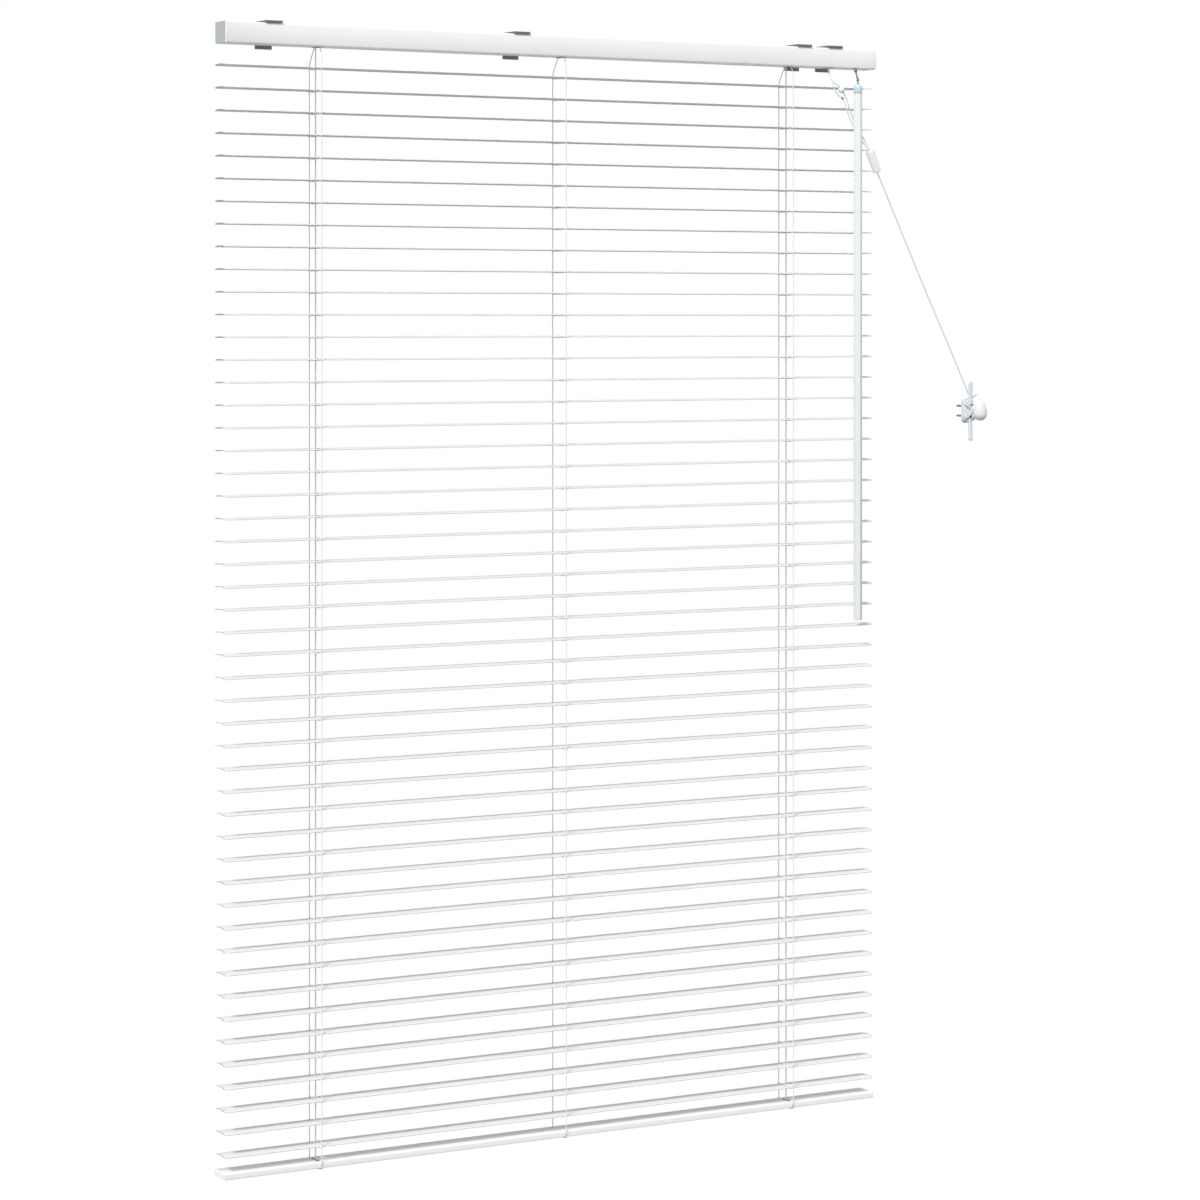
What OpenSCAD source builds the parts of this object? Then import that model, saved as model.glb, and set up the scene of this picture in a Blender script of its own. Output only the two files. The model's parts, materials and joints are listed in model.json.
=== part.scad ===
// Venetian blind with 25 mm slats, a cord lock, a worm tilter and a wall cleat.
// X runs along the slats to the right, Y points back to the wall, Z points up.
// The origin is the middle of the line under which the blind hangs: half way along
// the slats, in the plane of their centre line, level with the tops of the brackets.

/* [Slats] */
// Length of each slat
slat_len = 720; // [700:5:720]
// Width of each slat, front edge to back edge
slat_w = 25; // [24:0.5:25]
// Height of the curve across each slat
slat_crown = 1.3; // [0.8:0.1:1.6]
// Thickness of each slat
slat_t = 0.4; // [0.3:0.05:0.5]
// Distance from one slat to the next
slat_pitch = 21; // [20:0.5:22]
// Number of slats
slat_count = 49; // [20:1:49]
// Height of the first slat's edges below the bracket tops
first_slat_drop = 42; // [41:0.5:44]

/* [Ladders] */
// Distance from one ladder to the next
ladder_spacing = 262; // [250:1:264]
// Distance from the centre line to each ladder cord
ladder_offset = 13.5; // [13.5:0.1:14]
// Diameter of the ladder cords
ladder_cord_d = 0.8; // [0.6:0.1:0.8]

/* [Headrail] */
// Height of the headrail
headrail_h = 20; // [20:0.5:21]
// Distance from the centre line to the front of the headrail
headrail_front = 16.5; // [16.5:0.1:17]
// Distance from the centre line to the back of the headrail
headrail_back = 7; // [7:0.1:7.2]
// Wall of the headrail
headrail_wall = 0.8; // [0.6:0.1:0.8]
// Thickness of the end caps
end_cap_t = 1; // [1:0.1:2]

/* [Bottom rail] */
// Height of the bottom rail
rail_h = 5.8; // [5:0.1:6]
// Wall of the bottom rail
rail_wall = 0.9; // [0.7:0.1:1]
// Distance from the last slat's edges down to the top of the bottom rail
rail_drop = 14.4; // [14:0.2:16]

/* [Brackets] */
// Width of each bracket
bracket_w = 17; // [16:0.5:18]
// Thickness of the bracket plate
bracket_t = 1.4; // [1.2:0.1:1.5]

/* [Tilter] */
// Diameter of the tilt rod
rod_d = 5; // [5]
// Module of the worm wheel's teeth
gear_module = 0.7; // [0.7]
// Length of the tilt wand below its cap
wand_len = 535; // [300:5:540]
// Size of the six-sided wand across its corners
wand_d = 8.6; // [7:0.2:8.6]

/* [Cords] */
// Diameter of the lift cords
lift_cord_d = 1.3; // [1:0.1:1.3]
// Diameter of the single pull cord
pull_cord_d = 1.4; // [1.2:0.1:1.4]

/* [Cleat] */
// Length of the cleat over its two horns
cleat_len = 61.4; // [56:0.2:62]
// Distance from the middle of the blind to the cleat
cleat_x = 487.7; // [487.7]
// Distance from the bracket tops down to the middle of the cleat
cleat_drop = 372; // [372]

/* [Hidden] */
$fn = 48;
eps = 0.01;
seat_gap = 0.03;

white = [0.95, 0.96, 0.96];
pale_blue = [0.75, 0.85, 0.9];
cap_grey = [0.66, 0.7, 0.72];
bracket_grey = [0.46, 0.48, 0.47];
steel = [0.4, 0.41, 0.42];
cord_white = [0.9, 0.91, 0.91];
plastic = [0.88, 0.9, 0.9];

// Slats
slat_radius = (pow(slat_w / 2, 2) + pow(slat_crown, 2)) / (2 * slat_crown);
slat_corner_r = 3;
slot_len = 14;
slot_w = 4;
notch_w = 2.4;
notch_depth = 2.2;
ladder_xs = [-ladder_spacing, 0, ladder_spacing];
lift_xs = [-ladder_spacing, ladder_spacing];

// Headrail
headrail_top = -2.2;
headrail_bottom = headrail_top - headrail_h;
headrail_mid = headrail_top - headrail_h / 2;
floor_z = headrail_bottom + headrail_wall;
front_bulge = 0.8;
front_radius = (pow(headrail_h / 2, 2) + pow(front_bulge, 2)) / (2 * front_bulge);
lip_w = 3.2;
fit_gap = 0.2;
cap_tongue = 4;
cap_tongue_t = 1.2;
stem_hole_gap = 0.6;

// Tilt rod, drums and cradles
rod_y = -3;
rod_z = -12.2;
rod_left = -ladder_spacing - 12;
rod_right = 343;
bearing_gap = 0.1;
press_gap = 0.05;
drum_r = 4.2;
drum_flange_r = 5.2;
drum_len = 12;
drum_flange_t = 1;
cradle_len = 16;
cradle_w = 11;
cheek_t = 1.5;
cheek_top = -8.5;
cradle_base_t = 1.2;
window_y = -1.4;
window_w = 4.6;
window_h = 2.6;
grommet_len = 14.6;
grommet_w = 6.6;
cord_hole_len = 11;
cord_hole_w = 5;
grommet_drop = 0.4;

// Tilter: the worm's axis leans forward from the rod down to the eye of its stem
wand_x = 336;
worm_lean = 24;
eye_y = -19.65;
eye_z = -34;
wheel_teeth = 12;
wheel_r = gear_module * wheel_teeth / 2;
wheel_w = 2.4;
addendum = 0.6;
dedendum = 0.75;
tooth_sink = 0.2;
eye_to_rod_y = rod_y - eye_y;
eye_to_rod_z = rod_z - eye_z;
centre_distance = eye_to_rod_y * cos(worm_lean) - eye_to_rod_z * sin(worm_lean);
worm_along = eye_to_rod_y * sin(worm_lean) + eye_to_rod_z * cos(worm_lean);
worm_r = centre_distance - wheel_r;
worm_len = 8;
worm_pitch = PI * gear_module;
thread_tip_half = 0.2;
thread_root_half = 0.35;
thread_steps = 14;
stem_r = 0.9;
stem_collar_r = 1.5;
stem_collar_z = 9.3;
stem_collar_h = 2.5;
eye_ring_r = 1.25;
eye_wire_r = 0.4;
hook_turn = 60;
hook_ring_r = 2.3;
hook_wire_r = 0.45;
tilter_len = 12;
tilter_wall = 1.2;
boss_len = 9;
boss_wall = 1.2;
worm_end_gap = 0.4;
tilter_front = -14.6;
tilter_back = 3.5;
tilter_top = -4.5;

// Cord lock
lock_x = 298;
lock_len = 18;
lock_front = -13;
lock_w = 8.4;
lock_h = 6;
lock_exit_x = 303;
lock_exit_len = 8.5;
lock_exit_y = -12;
lock_exit_w = 6.4;
lock_wall = 1;
lock_path_len = 11.2;
lock_path_h = 3;
lock_exit_rim = 0.6;
roller_r = 1.4;
roller_x = 3.5;
roller_z = -16.8;
roller_slot_len = 3.8;
roller_gap = 0.3;

// Brackets
bracket_xs = [-312, -50, 274, 311];
bracket_gap = 0.4;
bracket_front = -headrail_front - 0.5;
bracket_back = headrail_back + bracket_gap + bracket_t;
tab_bottom = -25.5;
nib_h = 1;
nib_t = 0.4;
top_hole_pitch = 10;
top_hole_y = -4;
back_hole_pitch = 8;
screw_hole_r = 1.8;

// Bottom rail
rail_top = slat_z(slat_count) - rail_drop;
rail_corner_r = 1;
rail_cap_t = 1.5;
plug_y = -10.5;
plug_r = 1.8;
plug_head_r = 2.4;
plug_head_t = 0.9;
plug_len = 2.3;
rail_slot_len = 17;
rail_slot_w = 3.2;

// Ladder cords, kept clear of the headrail and the bottom rail as they rise and fall
ladder_top = -36;
ladder_bottom = rail_top + 7.4;

// Wand
cap_top = -37.3;
cap_h = 9.6;
cap_r = 4.55;
cap_neck_r = 1.7;
cap_flat = 0.6;
wand_top = cap_top - cap_h;

// Cleat
wall_y = bracket_back;
cleat_plate_w = 7;
cleat_plate_h = 25.4;
cleat_plate_t = 2.4;
hub_w = 6.4;
hub_h = 20;
hub_front = -1;
horn_w = 4.4;
horn_t = 3.2;
horn_end_r = 0.8;
screw_pitch = 10.2;
screw_r = 1.1;
screw_head_r = 1.9;
screw_tip_y = 22.4;
screw_tip_len = 2;
screw_tip_r = 0.2;
screw_head_sink = 0.4;
countersink = 2;

// Cord hardware
stop_centre = [317.7, -17, -44.4];
stop_lean = 42;
stop_r = 3.5;
stop_hole_r = 1;
crimp_centre = [319, -17, -52.8];
crimp_lean = 45;
crimp_r = 1.15;
crimp_len = 2.4;
joiner_top = [351.3, -18.5, -105.3];
joiner_bottom = [360.5, -18.5, -126.9];
joiner_r1 = 4.7;
joiner_r2 = 4.1;
joiner_edge = 1.2;
joiner_bore_r = 3.4;
joiner_bore = 3;
knob_top = [492.5, -14, -361];
knob_r = 7.1;
knob_h = 20.8;

// Routes of the cords, hand-chosen points from the bottom rail to the joiner
lift_bottom = rail_top - rail_h / 2;
left_string = [
    [-262, 0, lift_bottom], [-262, 0, -24], [-262, 0, -21.2], [-261.4, 0.2, -19.8], [-260, 0.4, -19.2],
    [-250, 1.4, -19.2], [-240, 2.2, -19.2], [272, 2.2, -19.2], [280, 0.5, -19.2], [290, -6, -19.2],
    [297, -7.8, -19.2], [303, -8, -19.2], [305.6, -8.1, -19.8], [306.6, -8.4, -22], [307, -10, -27],
    [307.5, -13, -32], [309, -15.4, -36.4], [313, -16.8, -39.4], [315.4, -17, -41.8],
    [320, -17, -47], [323.4, -16.9, -52], [328.5, -15.6, -63], [335, -14.2, -75], [344.5, -15, -91],
    [351.8, -18.1, -105]
];
right_string = [
    [262, 0, lift_bottom], [262, 0, -24], [262, 0, -21.2], [262.6, -0.2, -19.8], [264, -0.4, -19.2],
    [271.5, -0.5, -19.2], [280, -4.5, -19.2], [288, -9, -19.2], [297, -10.2, -19.2], [303.5, -10.2, -19.2],
    [305.8, -10.3, -19.8], [306.6, -10.4, -22], [306.6, -10.5, -23.2], [306.4, -12.4, -27],
    [306.2, -15, -32], [307.4, -16.6, -37.5], [309, -17, -43], [312, -17, -48], [316, -17, -51.2],
    [318.15, -17, -51.95], [319.85, -17, -53.65], [324.3, -16.4, -63.4], [329.5, -15.2, -73.2],
    [335, -14.2, -81.4], [343.4, -15.4, -95], [350.4, -18.9, -105.6]
];
single_cord = [
    [360.7, -18.5, -127.4], [420, -9, -233.6], [489, 2, -354.5], [492, 2.3, -360.7],
    [492.9, 0.8, -364.6], [492.9, -2.4, -367.2], [491.9, -5.4, -369], [489.7, -6.8, -371.2],
    [486.7, -6.8, -374.4], [484.3, -5.4, -377], [482.9, -2.2, -379.4], [483.1, 1, -382],
    [484.9, 2.7, -383.4], [487.7, 3, -383.7], [491, 2.6, -383.4], [492.7, 0.4, -381.1],
    [492.7, -2.4, -377.6], [491.7, -4.6, -374.4], [489.7, -5.15, -371.4], [486.9, -5.15, -367.6],
    [484.5, -4.8, -364.2], [483.5, -2.2, -361.8], [484.2, -0.2, -360.9], [486.3, 0.8, -360.3],
    [488.9, 0.8, -360.3], [491.2, 0.2, -360.7], [492.6, -2, -363], [491.8, -5, -365.8],
    [490.1, -6.8, -368.4], [488.5, -6.8, -370], [485.5, -6.8, -373.2], [483.3, -5.2, -375.4],
    [482.1, -2, -377.4], [482.1, 1.6, -380], [483.5, 4.2, -382.6], [486.1, 4.9, -383.8],
    [489.3, 4.9, -383.8], [492.3, 4.2, -382.8], [494.1, 2.2, -382], [494.3, -1.2, -380.6],
    [493.1, -4.2, -378.4], [490.7, -5.3, -375.8], [488.4, -5.15, -372.35], [485.6, -5.15, -368.55],
    [483.5, -4.4, -366.2], [482.5, -1.4, -364], [482.6, 1.6, -361.6], [484.3, 3.7, -359.8],
    [486.9, 4.2, -359.4], [490.1, 4.2, -359.3], [493.1, 3.6, -358.8], [494.3, 0.8, -357.6],
    [493.9, -3.4, -355.4], [492.9, -8, -354.8], [492.6, -12, -355.4], [492.5, -13.8, -357.6],
    [492.5, -14, -360.9]
];

function slat_name(i) = str("slat_", i < 10 ? "0" : "", i);
function slat_z(i) = -first_slat_drop - slat_pitch * (i - 1);
function unit(v) = v / norm(v);

// Extrudes a flat outline along X: the outline's x becomes Y and its y becomes Z.
module along_x(len) {
    rotate([90, 0, 90])
        linear_extrude(len, center = true)
            children();
}

module stadium(len, w) {
    square([len - w, w], center = true);
    for (side = [-1, 1])
        translate([side * (len - w) / 2, 0])
            circle(w / 2);
}

module rounded_rect(len, w, r) {
    square([len - 2 * r, w], center = true);
    square([len, w - 2 * r], center = true);
    for (sx = [-1, 1], sy = [-1, 1])
        translate([sx * (len / 2 - r), sy * (w / 2 - r)])
            circle(r);
}

// A slot cut down through a level plate, long in Y.
module slot_cut(x, y, len, w, z, depth) {
    translate([x, y, z])
        rotate(90)
            linear_extrude(depth, center = true)
                stadium(len, w);
}

// Moves its children from the worm's own axis to its place in the headrail.
module on_worm_axis() {
    translate([wand_x, eye_y, eye_z])
        rotate([-worm_lean, 0, 0])
            children();
}

// A round tube through a list of points, one ring of sides at each point.
module cord_tube(route, d, sides = 8) {
    last = len(route) - 1;
    points = [
        for (i = [0:last])
            let (
                dir = unit(route[min(i + 1, last)] - route[max(i - 1, 0)]),
                ref = abs(dir.z) > 0.9 ? [0, 1, 0] : [0, 0, 1],
                across = unit(cross(ref, dir)),
                up = cross(dir, across)
            )
            for (k = [0:sides - 1])
                route[i] + d / 2 * (cos(360 * k / sides) * across + sin(360 * k / sides) * up)
    ];
    walls = [
        for (i = [0:last - 1], k = [0:sides - 1])
            let (a = i * sides + k, b = i * sides + (k + 1) % sides)
            each [[a, a + sides, b], [b, a + sides, b + sides]]
    ];
    ends = [[for (k = [0:sides - 1]) k], [for (k = [sides - 1:-1:0]) last * sides + k]];
    polyhedron(points, concat(walls, ends));
}

// Curved strip, a little wider than the slat, which the slat's outline trims.
module slat_section() {
    intersection() {
        translate([0, slat_crown - slat_radius])
            difference() {
                circle(slat_radius);
                circle(slat_radius - slat_t);
            }
        translate([-0.6 * slat_w, -slat_crown - slat_t])
            square([1.2 * slat_w, 2 * (slat_crown + slat_t)]);
    }
}

// One slat: slots for the lift cords, and small notches where the ladder cords pass.
module slat(i) {
    blank_h = 6;
    color(white)
    translate([0, 0, slat_z(i)])
    difference() {
        intersection() {
            along_x(slat_len) slat_section();
            linear_extrude(blank_h, center = true)
                rounded_rect(slat_len, slat_w, slat_corner_r);
        }
        for (x = lift_xs)
            slot_cut(x, 0, slot_len, slot_w, 0, blank_h);
        for (x = ladder_xs, side = [-1, 1])
            slot_cut(x, side * (slat_w / 2), 2 * notch_depth, notch_w, 0, blank_h);
    }
}

module headrail_outline(inset) {
    intersection() {
        translate([front_radius - headrail_front, headrail_mid])
            circle(front_radius - inset, $fn = 96);
        translate([-headrail_front + inset, headrail_bottom + inset])
            square([headrail_front + headrail_back - 2 * inset, headrail_h - 2 * inset]);
    }
}

// Channel of folded steel, open between two lips at the top.
module headrail() {
    color(white)
    difference() {
        along_x(slat_len)
            difference() {
                headrail_outline(0);
                headrail_outline(headrail_wall);
                translate([-headrail_front + lip_w, headrail_mid])
                    square([headrail_front + headrail_back - 2 * lip_w, headrail_h]);
            }
        for (x = ladder_xs)
            slot_cut(x, rod_y, grommet_len + 2 * fit_gap, grommet_w + 2 * fit_gap, headrail_bottom, 4);
        translate([lock_exit_x - fit_gap, lock_exit_y - fit_gap, headrail_bottom - 1])
            cube([lock_exit_len + 2 * fit_gap, lock_exit_w + 2 * fit_gap, 3]);
        on_worm_axis()
            cylinder(h = worm_along - worm_len, r = stem_r + stem_hole_gap);
    }
}

module end_cap(side) {
    translate([side * (slat_len / 2 + end_cap_t / 2), 0, 0])
        along_x(end_cap_t)
            headrail_outline(0);
    translate([side * (slat_len / 2 - cap_tongue / 2), 0, 0])
        along_x(cap_tongue + 2 * eps)
            difference() {
                headrail_outline(headrail_wall + fit_gap);
                headrail_outline(headrail_wall + fit_gap + cap_tongue_t);
            }
}

// Holds a drum between two cheeks, over the hole where the ladder and lift cords leave.
module cradle(x) {
    base_top = floor_z + cradle_base_t;
    translate([x, rod_y, 0])
    difference() {
        union() {
            translate([-cradle_len / 2, -cradle_w / 2, floor_z])
                cube([cradle_len, cradle_w, cradle_base_t]);
            for (side = [-1, 1])
                translate([side * (cradle_len - cheek_t) / 2 - cheek_t / 2, -cradle_w / 2, floor_z])
                    cube([cheek_t, cradle_w, cheek_top - floor_z]);
            translate([0, 0, headrail_bottom - grommet_drop])
                rotate(90)
                    linear_extrude(floor_z - headrail_bottom + grommet_drop + eps)
                        stadium(grommet_len, grommet_w);
        }
        slot_cut(0, 0, cord_hole_len, cord_hole_w, headrail_bottom, 8);
        translate([-cradle_len, window_y - rod_y, base_top])
            cube([2 * cradle_len, window_w, window_h]);
        translate([-cradle_len, 0, rod_z])
            rotate([0, 90, 0])
                cylinder(h = 2 * cradle_len, r = rod_d / 2 + bearing_gap);
    }
}

// Housing of the worm and wheel, with a bearing for the worm's stem.
module tilter_housing() {
    left = wand_x - tilter_len / 2;
    depth = tilter_back - tilter_front;
    height = tilter_top - floor_z;
    difference() {
        union() {
            difference() {
                translate([left, tilter_front, floor_z])
                    cube([tilter_len, depth, height]);
                translate([left + tilter_wall, tilter_front + tilter_wall, floor_z + tilter_wall])
                    cube([tilter_len - 2 * tilter_wall, depth - 2 * tilter_wall, height]);
            }
            intersection() {
                on_worm_axis()
                    translate([0, 0, worm_along - worm_len / 2 - worm_end_gap - boss_len])
                        cylinder(h = boss_len, r = stem_r + boss_wall);
                translate([left, tilter_front, floor_z])
                    cube([tilter_len, depth, height]);
            }
        }
        on_worm_axis()
            cylinder(h = worm_along, r = stem_r + bearing_gap);
        translate([wand_x - tilter_len, rod_y, rod_z])
            rotate([0, 90, 0])
                cylinder(h = 2 * tilter_len, r = rod_d / 2 + bearing_gap);
    }
}

// Lets the two lift cords out through the headrail's floor, past a knurled roller.
module cord_lock() {
    inside_y = lock_front + lock_wall;
    inside_w = lock_w - 2 * lock_wall;
    path_z = floor_z + lock_wall + fit_gap;
    difference() {
        union() {
            translate([lock_x, lock_front, floor_z])
                cube([lock_len, lock_w, lock_h]);
            translate([lock_exit_x, lock_exit_y, headrail_bottom - grommet_drop])
                cube([lock_exit_len, lock_exit_w, headrail_wall + grommet_drop + eps]);
        }
        translate([lock_x - 1, inside_y, path_z])
            cube([lock_path_len + 1, inside_w, lock_path_h]);
        translate([lock_exit_x + lock_exit_rim, lock_exit_y + lock_exit_rim, headrail_bottom - 1])
            cube([lock_exit_len - 2 * lock_exit_rim, lock_exit_w - 2 * lock_exit_rim, 4]);
        translate([lock_x + roller_x - roller_slot_len / 2, inside_y, path_z + 1])
            cube([roller_slot_len, inside_w, lock_h]);
    }
    translate([lock_x + roller_x, inside_y + roller_gap, roller_z])
        rotate([-90, 0, 0])
            cylinder(h = inside_w - 2 * roller_gap, r = roller_r);
}

module headrail_fittings() {
    color(cap_grey)
        for (side = [-1, 1])
            end_cap(side);
    color(plastic) {
        for (x = ladder_xs)
            cradle(x);
        tilter_housing();
        cord_lock();
    }
}

// Steel strip bent over the headrail: a nib in front, and a tab that shows below at the back.
module bracket(x) {
    translate([x, 0, 0])
    difference() {
        union() {
            translate([-bracket_w / 2, bracket_front, -bracket_t])
                cube([bracket_w, bracket_back - bracket_front, bracket_t]);
            translate([-bracket_w / 2, bracket_back - bracket_t, tab_bottom])
                cube([bracket_w, bracket_t, -tab_bottom]);
            translate([-bracket_w / 2, bracket_front, -bracket_t - nib_h])
                cube([bracket_w, nib_t, nib_h + eps]);
        }
        for (side = [-1, 1])
            translate([0, top_hole_y + side * top_hole_pitch / 2, -2 * bracket_t])
                cylinder(h = 3 * bracket_t, r = screw_hole_r);
        for (side = [-1, 1])
            translate([side * back_hole_pitch / 2, bracket_back + 1, headrail_mid])
                rotate([90, 0, 0])
                    cylinder(h = 3 * bracket_t, r = screw_hole_r);
    }
}

// Flat stadium in the XZ plane, standing from Y = front back to Y = back.
module upright_stadium(h, w, front, back) {
    translate([0, back, 0])
        rotate([90, 90, 0])
            linear_extrude(back - front)
                stadium(h, w);
}

module cleat() {
    difference() {
        union() {
            upright_stadium(cleat_plate_h, cleat_plate_w, wall_y - cleat_plate_t, wall_y);
            upright_stadium(hub_h, hub_w, hub_front - eps, wall_y - cleat_plate_t + eps);
            translate([0, hub_front, 0])
                rotate([90, 90, 0])
                    linear_extrude(horn_t)
                        rounded_rect(cleat_len, horn_w, horn_end_r);
        }
        for (side = [-1, 1])
            translate([0, 0, side * screw_pitch / 2]) {
                rotate([-90, 0, 0])
                    translate([0, 0, -wall_y])
                        cylinder(h = 3 * wall_y, r = screw_r + bearing_gap);
                translate([0, hub_front - horn_t - 1, 0])
                    rotate([-90, 0, 0])
                        cylinder(h = countersink + 1, r = screw_head_r + bearing_gap);
            }
    }
}

module cleat_screw() {
    head_front = hub_front - horn_t + screw_head_sink;
    tip_start = screw_tip_y - screw_tip_len;
    rotate([-90, 0, 0]) {
        translate([0, 0, head_front])
            cylinder(h = countersink - screw_head_sink - seat_gap, r = screw_head_r);
        translate([0, 0, head_front + eps])
            cylinder(h = tip_start - head_front, r = screw_r);
        translate([0, 0, tip_start])
            cylinder(h = screw_tip_len, r1 = screw_r, r2 = screw_tip_r);
    }
}

module mounting_hardware() {
    color(bracket_grey)
        for (x = bracket_xs)
            bracket(x);
    translate([cleat_x, 0, -cleat_drop]) {
        color(pale_blue)
            cleat();
        color(steel)
            for (side = [-1, 1])
                translate([0, 0, side * screw_pitch / 2])
                    cleat_screw();
    }
}

// Spool that winds the ladder cords as the rod turns.
module drum() {
    bore_r = rod_d / 2 + press_gap;
    rotate([0, 90, 0])
        difference() {
            union() {
                cylinder(h = drum_len, r = drum_r, center = true);
                for (side = [-1, 1])
                    translate([0, 0, side * (drum_len - drum_flange_t) / 2])
                        cylinder(h = drum_flange_t, r = drum_flange_r, center = true);
            }
            cylinder(h = drum_len + 1, r = bore_r, center = true);
        }
}

module worm_wheel() {
    tooth_root = 0.75;
    tooth_tip = 0.45;
    gap_angle = 180 - worm_lean;
    root_r = wheel_r - dedendum - tooth_sink;
    along_x(wheel_w)
        difference() {
            union() {
                circle(wheel_r - dedendum);
                for (k = [0:wheel_teeth - 1])
                    rotate(gap_angle + (k + 0.5) * 360 / wheel_teeth)
                        polygon([
                            [root_r, -tooth_root / 2], [wheel_r + addendum, -tooth_tip / 2],
                            [wheel_r + addendum, tooth_tip / 2], [root_r, tooth_root / 2]
                        ]);
            }
            circle(rod_d / 2 + press_gap);
        }
}

module tilt_shaft() {
    color(steel)
        translate([rod_left, rod_y, rod_z])
            rotate([0, 90, 0])
                cylinder(h = rod_right - rod_left, r = rod_d / 2);
    color(plastic) {
        for (x = ladder_xs)
            translate([x, rod_y, rod_z])
                drum();
        translate([wand_x, rod_y, rod_z])
            worm_wheel();
    }
}

// Right-hand thread whose crossing at the wheel is level with the wheel's centre.
module worm_thread() {
    thread_end = 0.44;
    turns = (worm_len - 2 * thread_end) / worm_pitch;
    steps = ceil(turns * thread_steps);
    root_r = worm_r - dedendum - tooth_sink;
    section = [
        [root_r, -thread_root_half], [worm_r + addendum, -thread_tip_half],
        [worm_r + addendum, thread_tip_half], [root_r, thread_root_half]
    ];
    points = [
        for (i = [0:steps])
            let (angle = (i / steps - 0.5) * turns * 360)
            for (p = section)
                [p.x * cos(90 + angle), p.x * sin(90 + angle), p.y + worm_pitch * angle / 360]
    ];
    walls = [
        for (i = [0:steps - 1], k = [0:3])
            let (a = i * 4 + k, b = i * 4 + (k + 1) % 4)
            each [[a, b, a + 4], [b, b + 4, a + 4]]
    ];
    polyhedron(points, concat(walls, [[3, 2, 1, 0], [for (k = [0:3]) steps * 4 + k]]));
}

module ring(r, wire_r) {
    rotate_extrude()
        translate([r, 0])
            circle(wire_r, $fn = 24);
}

// Worm, stem and the eye that takes the wand's hook.
module tilter_worm() {
    color(steel)
    on_worm_axis() {
        translate([0, 0, worm_along]) {
            worm_thread();
            cylinder(h = worm_len, r = worm_r - dedendum, center = true);
        }
        translate([0, 0, eye_ring_r])
            cylinder(h = worm_along - worm_len / 2 - eye_ring_r + eps, r = stem_r);
        translate([0, 0, stem_collar_z])
            cylinder(h = stem_collar_h, r = stem_collar_r);
        rotate([0, 90, hook_turn])
            ring(eye_ring_r, eye_wire_r);
    }
}

// Wand with its hook and domed cap; it hangs plumb from the eye of the worm's stem.
module tilt_wand() {
    translate([wand_x, eye_y, 0]) {
        color(steel)
            translate([0, 0, eye_z - hook_ring_r])
                rotate([90, 0, hook_turn])
                    ring(hook_ring_r, hook_wire_r);
        color(pale_blue)
            translate([0, 0, cap_top - cap_h])
                rotate_extrude()
                    union() {
                        square([cap_r, cap_h - cap_r]);
                        intersection() {
                            translate([0, cap_h - cap_r])
                                circle(cap_r);
                            translate([0, cap_h - cap_r])
                                square([cap_r, cap_r - cap_flat]);
                        }
                        square([cap_neck_r, cap_h]);
                    }
        color(white)
            translate([0, 0, wand_top - wand_len])
                rotate(30)
                    cylinder(h = wand_len - eps, r = wand_d / 2, $fn = 6);
    }
}

module ladder_cords(side) {
    color(cord_white)
        for (x = ladder_xs)
            translate([x, side * ladder_offset, ladder_bottom])
                cylinder(h = ladder_top - ladder_bottom, r = ladder_cord_d / 2);
}

module ladder_front_cords() {
    ladder_cords(-1);
}

module ladder_back_cords() {
    ladder_cords(1);
}

// Closed metal section with end caps, a plug under each ladder and slots for the lift cords.
module bottom_rail() {
    translate([0, 0, rail_top - rail_h / 2]) {
        color(white)
            difference() {
                along_x(slat_len - 2 * rail_cap_t - 2 * seat_gap)
                    difference() {
                        rounded_rect(slat_w, rail_h, rail_corner_r);
                        square([slat_w - 2 * rail_wall, rail_h - 2 * rail_wall], center = true);
                    }
                for (x = ladder_xs)
                    translate([x, plug_y, -rail_h / 2 - 1])
                        cylinder(h = rail_wall + 2, r = plug_r + bearing_gap);
                for (x = lift_xs)
                    slot_cut(x, 0, rail_slot_len, rail_slot_w, rail_h / 2, 3 * rail_wall);
            }
        color(plastic)
            for (side = [-1, 1])
                translate([side * (slat_len - rail_cap_t) / 2, 0, 0])
                    along_x(rail_cap_t)
                        rounded_rect(slat_w, rail_h, rail_corner_r);
        color(cap_grey)
            for (x = ladder_xs)
                translate([x, plug_y, -rail_h / 2 - plug_head_t - seat_gap]) {
                    cylinder(h = plug_head_t, r = plug_head_r);
                    cylinder(h = plug_len, r = plug_r);
                }
    }
}

module lift_cords() {
    color(cord_white) {
        cord_tube(left_string, lift_cord_d);
        cord_tube(right_string, lift_cord_d);
        cord_tube(single_cord, pull_cord_d);
    }
}

module cord_stop() {
    translate(stop_centre)
        rotate([0, -stop_lean, 0])
            difference() {
                sphere(stop_r);
                cylinder(h = 3 * stop_r, r = stop_hole_r, center = true);
            }
}

module crimp() {
    translate(crimp_centre)
        rotate([0, -crimp_lean, 0])
            difference() {
                cylinder(h = crimp_len, r = crimp_r, center = true);
                cylinder(h = crimp_len + 1, r = lift_cord_d / 2 + bearing_gap, center = true);
            }
}

// Slightly tapered plastic bell that joins the two lift cords to the single pull cord.
module joiner() {
    length = norm(joiner_bottom - joiner_top);
    lean = atan2(joiner_bottom.x - joiner_top.x, joiner_top.z - joiner_bottom.z);
    bottom_edge = [
        for (a = [-90:30:0])
            [joiner_r2 + joiner_edge * (cos(a) - 1), joiner_edge * (sin(a) + 1)]
    ];
    top_edge = [[joiner_r1, length - joiner_edge / 2], [joiner_r1 - joiner_edge / 2, length]];
    translate(joiner_bottom)
        rotate([0, -lean, 0])
            rotate_extrude()
                difference() {
                    polygon(concat([[0, 0]], bottom_edge, top_edge, [[0, length]]));
                    translate([-eps, length - joiner_bore])
                        square([joiner_bore_r + eps, joiner_bore + 1]);
                }
}

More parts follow.
